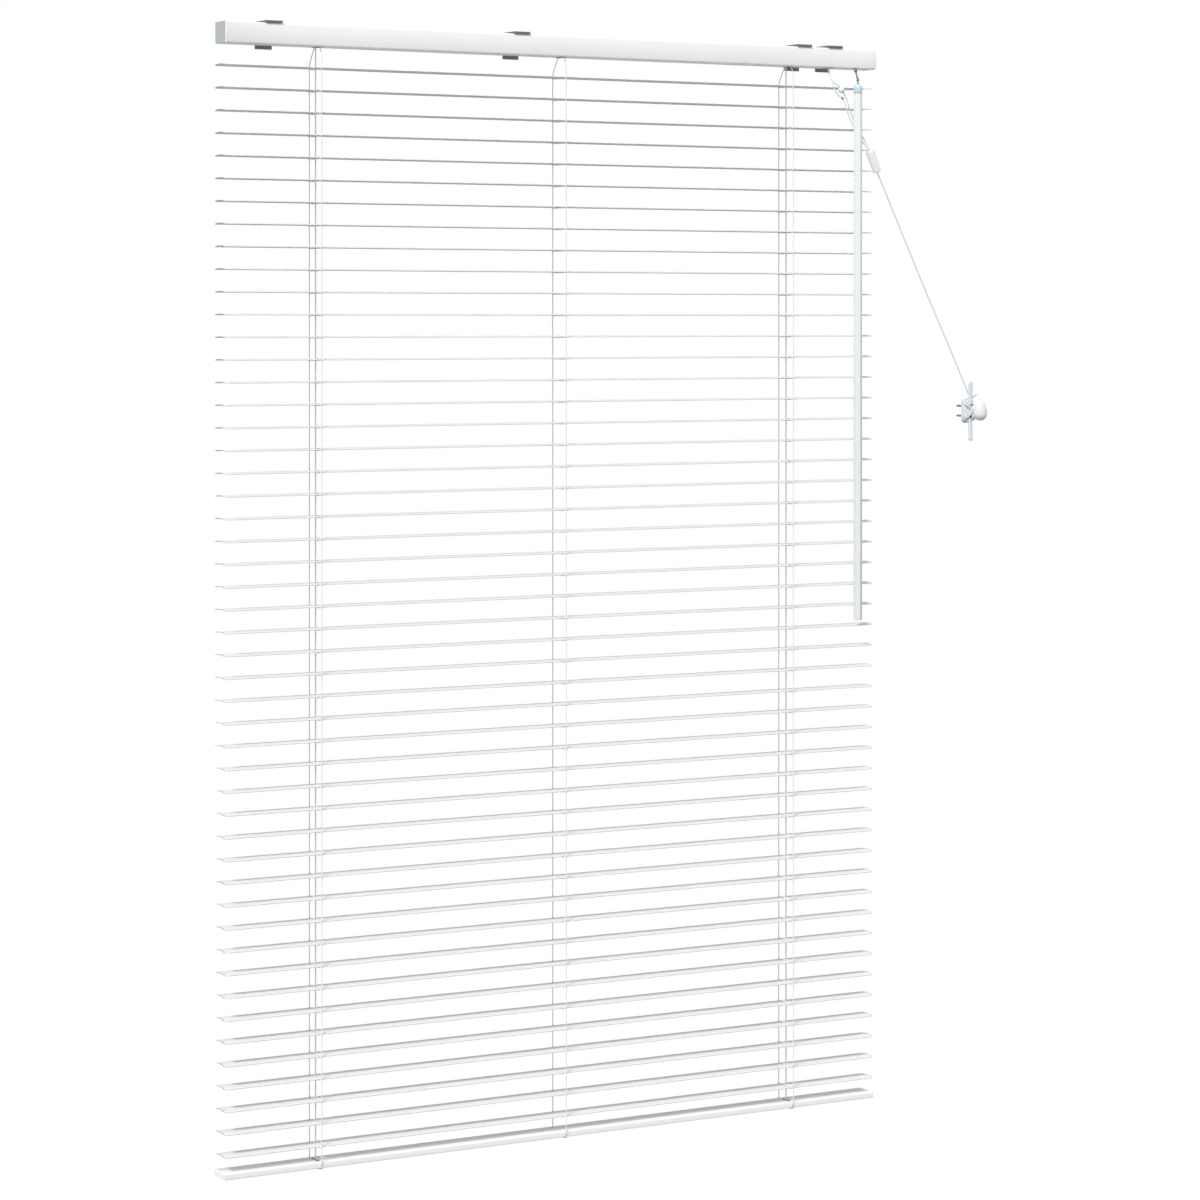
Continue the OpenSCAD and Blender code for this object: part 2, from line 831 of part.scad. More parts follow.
module knob() {
    translate(knob_top - [0, 0, knob_h])
        rotate_extrude()
            intersection() {
                square([knob_r, knob_h]);
                union() {
                    translate([0, knob_r])
                        circle(knob_r);
                    translate([0, knob_r])
                        scale([1, (knob_h - knob_r) / knob_r])
                            circle(knob_r);
                }
            }
}

module cord_hardware() {
    color(pale_blue)
        cord_stop();
    color(steel)
        crimp();
    color(plastic) {
        joiner();
        knob();
    }
}

headrail();
headrail_fittings();
mounting_hardware();
tilt_shaft();
tilter_worm();
tilt_wand();
ladder_front_cords();
ladder_back_cords();
bottom_rail();
lift_cords();
cord_hardware();
for (i = [1:slat_count])
    slat(i);
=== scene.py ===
"""Venetian blind: the looks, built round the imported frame. Shapes are drawn in millimetres."""
import json
import math

import bmesh
import bpy
from mathutils import Matrix, Vector

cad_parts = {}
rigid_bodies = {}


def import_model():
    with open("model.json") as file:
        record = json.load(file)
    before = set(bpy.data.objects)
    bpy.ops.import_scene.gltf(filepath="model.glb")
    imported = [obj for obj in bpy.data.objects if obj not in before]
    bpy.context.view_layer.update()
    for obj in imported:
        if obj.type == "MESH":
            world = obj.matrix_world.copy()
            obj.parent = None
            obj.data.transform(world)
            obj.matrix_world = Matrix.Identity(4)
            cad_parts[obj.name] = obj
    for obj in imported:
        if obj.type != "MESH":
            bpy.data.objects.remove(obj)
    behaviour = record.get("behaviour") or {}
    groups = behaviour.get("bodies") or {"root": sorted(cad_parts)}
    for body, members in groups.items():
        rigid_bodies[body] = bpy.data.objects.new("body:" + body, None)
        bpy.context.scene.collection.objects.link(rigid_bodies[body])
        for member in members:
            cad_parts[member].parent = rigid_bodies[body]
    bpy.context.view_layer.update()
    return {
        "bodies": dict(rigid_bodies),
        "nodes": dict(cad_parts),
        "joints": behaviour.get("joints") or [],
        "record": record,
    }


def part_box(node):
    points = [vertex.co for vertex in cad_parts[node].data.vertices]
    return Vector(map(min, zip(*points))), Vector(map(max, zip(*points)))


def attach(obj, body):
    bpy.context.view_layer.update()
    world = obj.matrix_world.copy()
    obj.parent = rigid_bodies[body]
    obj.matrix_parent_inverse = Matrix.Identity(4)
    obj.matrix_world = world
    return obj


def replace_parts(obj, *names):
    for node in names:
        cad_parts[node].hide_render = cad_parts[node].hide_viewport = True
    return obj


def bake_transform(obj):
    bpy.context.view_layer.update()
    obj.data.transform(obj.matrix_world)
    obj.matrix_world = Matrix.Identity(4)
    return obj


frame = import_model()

MM = 0.001

# ---------------------------------------------------------------- sizes, in millimetres, from the frame

JOINT_OF = {joint["child"]: joint for joint in frame["joints"]}
SLATS = sorted(body for body in frame["bodies"] if body.startswith("slat_"))


def pivot(body):
    return Vector(JOINT_OF[body]["pos_m"]) / MM


def box_mm(node):
    low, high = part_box(node)
    return low / MM, high / MM


slat_high = box_mm(SLATS[0])[1]
HALF_LEN = slat_high.x
HALF_W = slat_high.y
FIRST_Z = pivot(SLATS[0]).z
CROWN = slat_high.z - FIRST_Z
SLAT_R = (HALF_W ** 2 + CROWN ** 2) / (2 * CROWN)
SLAT_T = 0.24
LADDER_Y = -pivot("ladder_front").y
LADDER_X = (box_mm("ladder_front_cords")[1].x - box_mm("ladder_front_cords")[0].x - 0.8) / 2
LADDERS = (-LADDER_X, 0.0, LADDER_X)
RAIL_MID = pivot("bottom_rail").z
RAIL_H = 2 * (box_mm("bottom_rail")[1].z - RAIL_MID)
head_low, head_high = box_mm("headrail")
ROD = pivot("tilt_shaft")
EYE = pivot("tilt_wand")
MOUNTS = {mount["name"]: Vector(mount["pos_m"]) / MM for mount in frame["record"]["mounts"]}
BRACKETS = [place.x for name, place in sorted(MOUNTS.items()) if name.endswith("_top_screws")]
CLEAT = Vector((MOUNTS["cleat_back"].x, 0, MOUNTS["cleat_back"].z))

# ---------------------------------------------------------------- camera


def make_camera():
    """The photo's view. Its verticals are parallel, so the camera looks level and the lens is shifted."""
    data = bpy.data.cameras.new("camera")
    data.lens = 108.97
    data.sensor_width = 36
    data.shift_y = -0.23
    data.clip_end = 100
    camera = bpy.data.objects.new("camera", data)
    bpy.context.scene.collection.objects.link(camera)
    camera.location = (-1.7282, -3.0833, -0.2794)
    yaw, pitch = math.radians(29.91), math.radians(0.033)
    look = Vector((math.sin(yaw) * math.cos(pitch), math.cos(yaw) * math.cos(pitch), -math.sin(pitch)))
    camera.rotation_euler = look.to_track_quat("-Z", "Y").to_euler()
    bpy.context.scene.camera = camera


make_camera()

# ---------------------------------------------------------------- materials


def node_material(name):
    material = bpy.data.materials.new(name)
    material.use_nodes = True
    tree = material.node_tree
    shader = tree.nodes["Principled BSDF"]
    place = tree.nodes.new("ShaderNodeTexCoord").outputs["Object"]
    return material, tree, shader, place


def stretched(tree, place, scale):
    mapping = tree.nodes.new("ShaderNodeMapping")
    mapping.inputs["Scale"].default_value = scale
    tree.links.new(place, mapping.inputs["Vector"])
    return mapping.outputs["Vector"]


def noise(tree, place, scale, detail=3.0):
    node = tree.nodes.new("ShaderNodeTexNoise")
    node.inputs["Scale"].default_value = scale
    node.inputs["Detail"].default_value = detail
    tree.links.new(place, node.inputs["Vector"])
    return node.outputs["Fac"]


def ranged(tree, value, low, high, start=0.3, stop=0.7):
    node = tree.nodes.new("ShaderNodeMapRange")
    node.inputs["From Min"].default_value = start
    node.inputs["From Max"].default_value = stop
    node.inputs["To Min"].default_value = low
    node.inputs["To Max"].default_value = high
    tree.links.new(value, node.inputs["Value"])
    return node.outputs["Result"]


def mixed(tree, factor, first, second):
    node = tree.nodes.new("ShaderNodeMix")
    node.data_type = "RGBA"
    for socket, value in ((node.inputs[6], first), (node.inputs[7], second)):
        if isinstance(value, tuple):
            socket.default_value = (*value, 1)
        else:
            tree.links.new(value, socket)
    tree.links.new(factor, node.inputs[0])
    return node.outputs[2]


def bumped(tree, shader, heights):
    """Chains bumps: each entry is a height socket with its strength and distance in metres."""
    normal = None
    for height, strength, distance in heights:
        node = tree.nodes.new("ShaderNodeBump")
        node.inputs["Strength"].default_value = strength
        node.inputs["Distance"].default_value = distance
        tree.links.new(height, node.inputs["Height"])
        if normal is not None:
            tree.links.new(normal, node.inputs["Normal"])
        normal = node.outputs["Normal"]
    tree.links.new(normal, shader.inputs["Normal"])


def rim_attribute(tree):
    node = tree.nodes.new("ShaderNodeAttribute")
    node.attribute_name = "rim"
    return node.outputs["Fac"]


def math_node(tree, operation, first, second=None):
    node = tree.nodes.new("ShaderNodeMath")
    node.operation = operation
    for socket, value in zip(node.inputs, (first, second)):
        if isinstance(value, (int, float)):
            socket.default_value = value
        elif value is not None:
            tree.links.new(value, socket)
    return node.outputs[0]


def axis_value(tree, place, axis):
    node = tree.nodes.new("ShaderNodeSeparateXYZ")
    tree.links.new(place, node.inputs[0])
    return node.outputs[axis]


def edge_band(tree, place, axis, half, width):
    """1 on both outer edges of a flat piece centred on the origin, 0 further in than width; in metres."""
    distance = math_node(tree, "ABSOLUTE", axis_value(tree, place, axis))
    return ranged(tree, distance, 0, 1, half - width, half - 0.2 * width)


def slat_shaded_edges(tree, place):
    """Mask of painted shade along the strip's edges: its long sides and its two ends."""
    sides = edge_band(tree, place, "Y", HALF_W * MM, 0.0005)
    ends = edge_band(tree, place, "X", HALF_LEN * MM, 0.0014)
    return math_node(tree, "MAXIMUM", sides, ends)


def rail_ends(tree, place):
    """Half strength towards the section's cut ends, from the rim stored in the mesh."""
    return math_node(tree, "MULTIPLY", rim_attribute(tree), 0.5)


def painted_shade_top_back(tree, place):
    """Mask for painted shade: rises to 1 over the back half of the faces that look up."""
    upward = tree.nodes.new("ShaderNodeTexCoord").outputs["Normal"]
    up = ranged(tree, axis_value(tree, upward, "Z"), 0, 1, 0.5, 0.9)
    back = ranged(tree, axis_value(tree, place, "Y"), 0, 1, -0.3 * HALF_W * MM, HALF_W * MM)
    return math_node(tree, "MULTIPLY", up, back)


def enamel(name, tint, dust, roughness=(0.3, 0.42), lines=0.12, gloss=0.5, edges=rail_ends, edge_wear_and_shade=0.9,
           painted_back_shade=None):
    """Baked enamel on rolled strip: faint orange peel, roll lines along X, and clouds of the dust tint.
    Edges take that tint times a factor: wear at the cut ends of the headrail and rail, painted shade
    along the slats' edges. An optional colour is painted shade over the back of the faces that look up."""
    material, tree, shader, place = node_material(name)
    clouds = noise(tree, place, 7, 5)
    specks = noise(tree, place, 900, 2)
    rolled = noise(tree, stretched(tree, place, (1.5, 700, 700)), 1, 2)
    colour = mixed(tree, ranged(tree, clouds, 0, 1), tint, dust)
    # The edge mask darkens the colour: wear at the headrail's and rail's cut ends, painted shade along the
    # slats' edges.
    colour = mixed(tree, edges(tree, place), colour, tuple(edge_wear_and_shade * c for c in dust))
    # Painted shade over the back of the faces that look up.
    if painted_back_shade:
        colour = mixed(tree, painted_shade_top_back(tree, place), colour, painted_back_shade)
    tree.links.new(colour, shader.inputs["Base Color"])
    tree.links.new(ranged(tree, rolled, *roughness), shader.inputs["Roughness"])
    bumped(tree, shader, [(specks, 0.12, 0.00005), (rolled, lines, 0.00004)])
    shader.inputs["Specular IOR Level"].default_value = gloss
    return material


def plastic(name, tint, shade, roughness=(0.3, 0.4), coat=0.0, transmission=0.0, grain=1400):
    """Moulded plastic: slight colour drift, a fine moulded grain and soft flow marks."""
    material, tree, shader, place = node_material(name)
    drift = noise(tree, place, 35, 4)
    fine = noise(tree, place, grain, 2)
    flow = noise(tree, stretched(tree, place, (60, 60, 12)), 1, 3)
    tree.links.new(mixed(tree, ranged(tree, drift, 0, 1), tint, shade), shader.inputs["Base Color"])
    tree.links.new(ranged(tree, flow, *roughness), shader.inputs["Roughness"])
    bumped(tree, shader, [(fine, 0.05, 0.00005), (flow, 0.06, 0.0001)])
    shader.inputs["Coat Weight"].default_value = coat
    shader.inputs["Transmission Weight"].default_value = transmission
    shader.inputs["IOR"].default_value = 1.49
    return material


def grey_shade_white_rims(name, tint, shade, front, edge_y):
    """Grey plastic whose rims in front of edge_y are the white of the headrail's paint.
    On the end caps the grey is painted shade of their outer faces.
    """
    material, tree, shader, place = node_material(name)
    drift = mixed(tree, ranged(tree, noise(tree, place, 35, 4), 0, 1), tint, shade)
    ahead = ranged(tree, axis_value(tree, place, "Y"), 1, 0, edge_y - 0.0003, edge_y)
    tree.links.new(mixed(tree, ahead, drift, front), shader.inputs["Base Color"])
    flow = noise(tree, stretched(tree, place, (60, 60, 12)), 1, 3)
    tree.links.new(ranged(tree, flow, 0.4, 0.55), shader.inputs["Roughness"])
    bumped(tree, shader, [(noise(tree, place, 1400, 2), 0.15, 0.00005), (flow, 0.08, 0.0001)])
    return material


def metal(name, tint, shade, roughness=(0.32, 0.5), grain=(40, 40, 40), crystals=260):
    """Plated steel: crystals of zinc in slightly different greys, fine drawing marks and spots of wear."""
    material, tree, shader, place = node_material(name)
    cells = tree.nodes.new("ShaderNodeTexVoronoi")
    cells.inputs["Scale"].default_value = crystals
    tree.links.new(place, cells.inputs["Vector"])
    drawn = noise(tree, stretched(tree, place, grain), 30, 4)
    colour = mixed(tree, ranged(tree, cells.outputs["Color"], 0, 1, 0, 1), tint, shade)
    colour = mixed(tree, ranged(tree, drawn, 0, 0.5, 0.45, 0.75), colour, tuple(0.75 * c for c in shade))
    tree.links.new(colour, shader.inputs["Base Color"])
    tree.links.new(ranged(tree, drawn, *roughness), shader.inputs["Roughness"])
    bumped(tree, shader, [(drawn, 0.15, 0.00005)])
    shader.inputs["Metallic"].default_value = 0.85
    return material


def braid(name, tint, shade, pitch):
    """Braided cord: two crossing sets of strands over the tube's own length and girth, with fuzz."""
    material, tree, shader, place = node_material(name)
    uv = tree.nodes.new("ShaderNodeUVMap")
    heights = []
    for slant in (-1, 1):
        mapping = tree.nodes.new("ShaderNodeMapping")
        mapping.inputs["Rotation"].default_value = (0, 0, slant * math.radians(45))
        mapping.inputs["Scale"].default_value = (1 / pitch, 1 / pitch, 1)
        tree.links.new(uv.outputs["UV"], mapping.inputs["Vector"])
        wave = tree.nodes.new("ShaderNodeTexWave")
        wave.inputs["Scale"].default_value = 0.5
        wave.inputs["Distortion"].default_value = 0.4
        tree.links.new(mapping.outputs["Vector"], wave.inputs["Vector"])
        heights.append(wave.outputs["Fac"])
    higher = math_node(tree, "MAXIMUM", *heights)
    fuzz = noise(tree, place, 5000, 2)
    # Where the strands sink between each other the colour darkens: painted shade in the grooves.
    tree.links.new(mixed(tree, higher, shade, tint), shader.inputs["Base Color"])
    tree.links.new(ranged(tree, fuzz, 0.75, 0.95), shader.inputs["Roughness"])
    bumped(tree, shader, [(higher, 0.3, 0.00008), (fuzz, 0.2, 0.00003)])
    shader.inputs["Sheen Weight"].default_value = 0.3
    return material


WHITE, OFF_WHITE = (0.93, 0.94, 0.94), (0.9, 0.915, 0.915)
GREY, DARKER_GREY = (0.44, 0.48, 0.5), (0.39, 0.43, 0.45)
CORD_WHITE, CORD_SHADE = (0.82, 0.83, 0.83), (0.72, 0.73, 0.73)
CAP_RIM_Y = -0.0152

# Slats: the dark line along their edges and ends and the darker back of their tops are painted shade.
SLAT_PAINT = enamel("slat_enamel", (0.79, 0.8, 0.8), (0.765, 0.78, 0.78), (0.42, 0.52), lines=0.05,
                    gloss=0.2, edges=slat_shaded_edges, edge_wear_and_shade=0.4, painted_back_shade=(0.62, 0.63, 0.63))
HEAD_PAINT = enamel("headrail_enamel", WHITE, OFF_WHITE, (0.34, 0.44), lines=0.08)
# The darker back of the rail's top is painted shade.
RAIL_PAINT = enamel("rail_enamel", (0.95, 0.96, 0.96), (0.93, 0.94, 0.94), (0.34, 0.44), lines=0.08,
                    painted_back_shade=(0.5, 0.51, 0.51))
WHITE_PLASTIC = plastic("white_plastic", WHITE, (0.9, 0.915, 0.92), coat=0.2)
GREY_PLASTIC = plastic("grey_plastic", GREY, DARKER_GREY, (0.4, 0.55))
# The grey of the end caps stands in for the shade on their outer faces: painted shade.
CAP_PLASTIC = grey_shade_white_rims("cap_plastic", GREY, DARKER_GREY, WHITE, CAP_RIM_Y)
# The knob's white plastic is darkened overall: painted shade.
SHADED_KNOB_PLASTIC = plastic("shaded_knob_plastic", (0.78, 0.79, 0.8), (0.75, 0.76, 0.78), (0.4, 0.5), coat=0.05,
                       grain=400)
BLUE_PLASTIC = plastic("blue_plastic", (0.66, 0.8, 0.88), (0.6, 0.76, 0.85), (0.15, 0.28), coat=0.2,
                       transmission=0.1)
STOP_PLASTIC = plastic("stop_plastic", (0.8, 0.93, 0.98), (0.75, 0.9, 0.96), (0.15, 0.28), coat=0.2,
                       transmission=0.1)
CLEAT_PLASTIC = plastic("cleat_plastic", (0.74, 0.81, 0.86), (0.68, 0.76, 0.82), (0.2, 0.32), coat=0.2,
                        transmission=0.05)
WAND_PLASTIC = plastic("wand_plastic", (0.84, 0.87, 0.87), (0.81, 0.85, 0.85), (0.22, 0.34), coat=0.1)
ZINC = metal("zinc_steel", (0.23, 0.24, 0.238), (0.185, 0.192, 0.192))
ROD_STEEL = metal("rod_steel", (0.55, 0.56, 0.57), (0.48, 0.49, 0.5), (0.25, 0.4), (2, 60, 60), 120)
DARK_STEEL = metal("dark_steel", (0.16, 0.165, 0.17), (0.11, 0.115, 0.12), (0.3, 0.45), (60, 60, 60), 500)
CORD = braid("braided_cord", CORD_WHITE, CORD_SHADE, 0.0006)
THREAD = braid("ladder_thread", CORD_WHITE, CORD_SHADE, 0.0004)

# ---------------------------------------------------------------- mesh helpers


def finish_mesh(name, bm, material, body, sharp=35, bevel=0.0, segments=2):
    """Bevels the sharp edges, shades smooth up to an angle, and rides the piece on its body."""
    bmesh.ops.recalc_face_normals(bm, faces=bm.faces)
    if bevel:
        limit = math.radians(sharp)
        edges = [e for e in bm.edges if len(e.link_faces) == 2 and e.calc_face_angle() > limit]
        bmesh.ops.bevel(bm, geom=edges, offset=bevel, segments=segments, affect="EDGES", clamp_overlap=True)
    for face in bm.faces:
        face.smooth = True
    for edge in bm.edges:
        if len(edge.link_faces) == 2 and edge.calc_face_angle() > math.radians(sharp):
            edge.smooth = False
    bmesh.ops.scale(bm, vec=(MM, MM, MM), verts=bm.verts)
    mesh = bpy.data.meshes.new(name)
    bm.to_mesh(mesh)
    bm.free()
    mesh.materials.append(material)
    return add_piece(name, mesh, body)


def add_piece(name, mesh, body, place=None):
    piece = bpy.data.objects.new(name, mesh)
    bpy.context.scene.collection.objects.link(piece)
    if place is not None:
        piece.location = Vector(place) * MM
    if body:
        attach(piece, body)
    return piece


def add_prism(bm, outline, start, stop, place):
    """Closed outline, carried from start to stop; place(u, v, w) gives the corner's position."""
    ends = [[bm.verts.new(place(u, v, w)) for u, v in outline] for w in (start, stop)]
    count = len(outline)
    for k in range(count):
        n = (k + 1) % count
        bm.faces.new((ends[0][k], ends[0][n], ends[1][n], ends[1][k]))
    bm.faces.new(ends[0][::-1])
    bm.faces.new(ends[1])
    return ends[0] + ends[1]


def add_lathe(bm, profile, place=Matrix(), steps=32, closed=False):
    """Profile of (radius, height) points, turned about Z, then moved by place."""
    rings = []
    for radius, height in profile:
        if radius < 1e-6:
            rings.append([bm.verts.new(place @ Vector((0, 0, height)))])
        else:
            angles = [2 * math.pi * k / steps for k in range(steps)]
            points = [Vector((radius * math.cos(a), radius * math.sin(a), height)) for a in angles]
            rings.append([bm.verts.new(place @ p) for p in points])
    pairs = list(zip(rings, rings[1:])) + ([(rings[-1], rings[0])] if closed else [])
    for a, b in pairs:
        for k in range(steps):
            n = (k + 1) % steps
            corners = [a[k % len(a)], a[n % len(a)], b[n % len(b)], b[k % len(b)]]
            unique = list(dict.fromkeys(corners))
            if len(unique) > 2:
                bm.faces.new(unique)
    for ring in (rings[0], rings[-1]):
        if not closed and len(ring) > 1:
            bm.faces.new(ring)
    return [v for ring in rings for v in ring]


def arc(cu, cv, radius, start, stop, steps):
    """Points of an arc in degrees, both ends included."""
    angles = [math.radians(start + (stop - start) * k / steps) for k in range(steps + 1)]
    return [(cu + radius * math.cos(a), cv + radius * math.sin(a)) for a in angles]


def round_box_outline(width, height, radius, steps=4):
    w, h = width / 2 - radius, height / 2 - radius
    corners = ((w, h, 0), (-w, h, 90), (-w, -h, 180), (w, -h, 270))
    return [p for u, v, a in corners for p in arc(u, v, radius, a, a + 90, steps)]


def smooth_route(points, steps=6):
    """A smooth curve through the points that doesn't swing out where a short step follows a long one."""
    points = [Vector(p) for p in points]
    spans = [b - a for a, b in zip(points, points[1:])]
    turns = [(a.normalized() + b.normalized()).normalized() for a, b in zip(spans, spans[1:])]
    turns = [spans[0].normalized(), *turns, spans[-1].normalized()]
    route = []
    for k, span in enumerate(spans):
        length = span.length
        for i in range(steps):
            t = i / steps
            bend = t * (1 - t) * length
            lean = bend * ((1 - t) * turns[k] - t * turns[k + 1])
            route.append(points[k] + (3 * t ** 2 - 2 * t ** 3) * span + lean)
    return route + [points[-1].copy()]


def add_tube(bm, route, radius, sides=10):
    """Round tube along a route, with the distance round and along it as its UV map, in metres."""
    layer = bm.loops.layers.uv.verify()
    route = [Vector(p) for p in route]
    along = [0.0]
    for a, b in zip(route, route[1:]):
        along.append(along[-1] + (b - a).length)
    side = None
    rings = []
    for k, point in enumerate(route):
        direction = (route[min(k + 1, len(route) - 1)] - route[max(k - 1, 0)]).normalized()
        if side is None:
            side = direction.orthogonal().normalized()
        side = (side - direction * side.dot(direction)).normalized()
        other = direction.cross(side)
        angles = [2 * math.pi * i / sides for i in range(sides)]
        spokes = [radius * (math.cos(a) * side + math.sin(a) * other) for a in angles]
        rings.append([bm.verts.new(point + spoke) for spoke in spokes])
    girth = 2 * math.pi * radius * MM
    for k, (a, b) in enumerate(zip(rings, rings[1:])):
        for i in range(sides):
            n = (i + 1) % sides
            face = bm.faces.new((a[i], a[n], b[n], b[i]))
            places = ((i, k), (i + 1, k), (i + 1, k + 1), (i, k + 1))
            for loop, (u, v) in zip(face.loops, places):
                loop[layer].uv = (u / sides * girth, along[v] * MM)
    bm.faces.new(rings[0][::-1])
    bm.faces.new(rings[-1])


def tube_piece(name, route, radius, material, body, sides=10):
    bm = bmesh.new()
    add_tube(bm, route, radius, sides)
    return finish_mesh(name, bm, material, body, sharp=60)


def cut(piece, cutter_bm):
    """Cuts the cutter's solids out of the piece and removes the cutter."""
    bmesh.ops.recalc_face_normals(cutter_bm, faces=cutter_bm.faces)
    bmesh.ops.scale(cutter_bm, vec=(MM, MM, MM), verts=cutter_bm.verts)
    mesh = bpy.data.meshes.new("cutter")
    cutter_bm.to_mesh(mesh)
    cutter_bm.free()
    cutter = bpy.data.objects.new("cutter", mesh)
    bpy.context.scene.collection.objects.link(cutter)
    modifier = piece.modifiers.new("cut", "BOOLEAN")
    modifier.object = cutter
    modifier.operation = "DIFFERENCE"
    modifier.solver = "EXACT"
    apply_modifiers(piece)
    bpy.data.objects.remove(cutter)


def apply_modifiers(piece):
    bpy.context.view_layer.update()
    evaluated = piece.evaluated_get(bpy.context.evaluated_depsgraph_get())
    mesh = bpy.data.meshes.new_from_object(evaluated)
    piece.modifiers.clear()
    piece.data = mesh


def set_rim(mesh, amount):
    """Stores how close each vertex is to an edge that wears; amount works on a position in millimetres."""
    layer = mesh.attributes.new("rim", "FLOAT", "POINT")
    layer.data.foreach_set("value", [amount(v.co / MM) for v in mesh.vertices])


# ---------------------------------------------------------------- cords

LIFT_R = 0.65
PULL_R = 0.7

LEFT_STRING = [
    (-262, 0, RAIL_MID), (-262, 0, -24), (-262, 0, -21.2), (-261.4, 0.2, -19.8), (-260, 0.4, -19.2),
    (-250, 1.4, -19.2), (-240, 2.2, -19.2), (272, 2.2, -19.2), (280, 0.5, -19.2), (290, -6, -19.2),
    (297, -7.8, -19.2), (303, -8, -19.2), (305.6, -8.1, -19.8), (306.6, -8.4, -22), (307, -10, -27),
    (307.5, -13, -32), (309, -15.4, -36.4), (313, -16.8, -39.4), (315.4, -17, -41.8),
    (320, -17, -47), (323.4, -16.9, -52), (328.5, -15.6, -63), (335, -14.2, -75), (344.5, -15, -91),
    (351.8, -18.1, -105),
]
RIGHT_STRING = [
    (262, 0, RAIL_MID), (262, 0, -24), (262, 0, -21.2), (262.6, -0.2, -19.8), (264, -0.4, -19.2),
    (271.5, -0.5, -19.2), (280, -4.5, -19.2), (288, -9, -19.2), (297, -10.2, -19.2), (303.5, -10.2, -19.2),
    (305.8, -10.3, -19.8), (306.6, -10.4, -22), (306.6, -10.5, -23.2), (306.4, -12.4, -27),
    (306.2, -15, -32), (307.4, -16.6, -37.5), (309, -17, -43), (312, -17, -48), (316, -17, -51.2),
    (318.15, -17, -51.95), (319.85, -17, -53.65), (324.3, -16.4, -63.4), (329.5, -15.2, -73.2),
    (335, -14.2, -81.4), (343.4, -15.4, -95), (350.4, -18.9, -105.6),
]
SINGLE_CORD = [
    (360.7, -18.5, -127.4), (420, -9, -233.6), (489, 2, -354.5), (492, 2.3, -360.7),
    (492.9, 0.8, -364.6), (492.9, -2.4, -367.2), (491.9, -5.4, -369), (489.7, -6.8, -371.2),
    (486.7, -6.8, -374.4), (484.3, -5.4, -377), (482.9, -2.2, -379.4), (483.1, 1, -382),
    (484.9, 2.7, -383.4), (487.7, 3, -383.7), (491, 2.6, -383.4), (492.7, 0.4, -381.1),
    (492.7, -2.4, -377.6), (491.7, -4.6, -374.4), (489.7, -5.15, -371.4), (486.9, -5.15, -367.6),
    (484.5, -4.8, -364.2), (483.5, -2.2, -361.8), (484.2, -0.2, -360.9), (486.3, 0.8, -360.3),
    (488.9, 0.8, -360.3), (491.2, 0.2, -360.7), (492.6, -2, -363), (491.8, -5, -365.8),
    (490.1, -6.8, -368.4), (488.5, -6.8, -370), (485.5, -6.8, -373.2), (483.3, -5.2, -375.4),
    (482.1, -2, -377.4), (482.1, 1.6, -380), (483.5, 4.2, -382.6), (486.1, 4.9, -383.8),
    (489.3, 4.9, -383.8), (492.3, 4.2, -382.8), (494.1, 2.2, -382), (494.3, -1.2, -380.6),
    (493.1, -4.2, -378.4), (490.7, -5.3, -375.8), (488.4, -5.15, -372.35), (485.6, -5.15, -368.55),
    (483.5, -4.4, -366.2), (482.5, -1.4, -364), (482.6, 1.6, -361.6), (484.3, 3.7, -359.8),
    (486.9, 4.2, -359.4), (490.1, 4.2, -359.3), (493.1, 3.6, -358.8), (494.3, 0.8, -357.6),
    (493.9, -3.4, -355.4), (492.9, -8, -354.8), (492.6, -12, -355.4), (492.5, -13.8, -357.6),
    (492.5, -14, -360.9),
]
LEFT_EXIT, RIGHT_EXIT = 13, 11
JOINER_TOP = Vector((351.3, -18.5, -105.3))
JOINER_BOTTOM = Vector((360.5, -18.5, -126.9))
KNOB_TOP = Vector((492.5, -14, -361))
STOP = Vector((317.7, -17, -44.4))
CRIMP = Vector((319, -17, -52.8))


def axis_place(low, direction):
    """Puts the Z axis along a direction, with its origin at low."""
    return Matrix.Translation(low) @ direction.to_track_quat("Z", "Y").to_matrix().to_4x4()


def lathe_piece(name, profile, place, material, body, steps=32, closed=False, sharp=35):
    bm = bmesh.new()
    add_lathe(bm, profile, place, steps, closed)
    return finish_mesh(name, bm, material, body, sharp)


def make_joiner():
    """Slightly tapered bell: a rolled rim round the mouth that takes two cords, and a rounded foot."""
    up = JOINER_TOP - JOINER_BOTTOM
    height = up.length
    profile = [(0, 0.3), (1.0, 0.1), *arc(2.9, 1.2, 1.2, -90, 0, 5)]
    profile += [(4.3, height * 0.35), (4.5, height * 0.7), (4.65, height - 2.4)]
    profile += arc(4.2, height - 0.5, 0.5, 0, 170, 8)
    profile += [(3.5, height - 1.2), (3.3, height - 3.4), (2.2, height - 5), (0, height - 5.4)]
    place = axis_place(JOINER_BOTTOM, up)
    return lathe_piece("joiner", profile, place, WHITE_PLASTIC, "headrail", 40)


def make_knob():
    """Egg-shaped knob, open below round the knot."""
    r, h = 7.1, 20.8
    profile = [(0, 0), (0.9, -0.05), (2.0, -0.6)]
    for a in (math.radians(angle) for angle in range(26, 91, 8)):
        profile.append((r * math.sin(a) ** 0.9, -(h - r) * (1 - math.cos(a))))
    for a in (math.radians(angle) for angle in range(8, 60, 8)):
        profile.append((r * math.cos(a), -(h - r) - r * math.sin(a) * 0.98))
    profile += [(3.3, -h + 0.5), (2.6, -h + 0.15), (2.2, -h + 0.3), (2.1, -h + 2.5), (0, -h + 3)]
    place = Matrix.Translation(KNOB_TOP)
    return lathe_piece("knob", profile, place, SHADED_KNOB_PLASTIC, "headrail", 48)


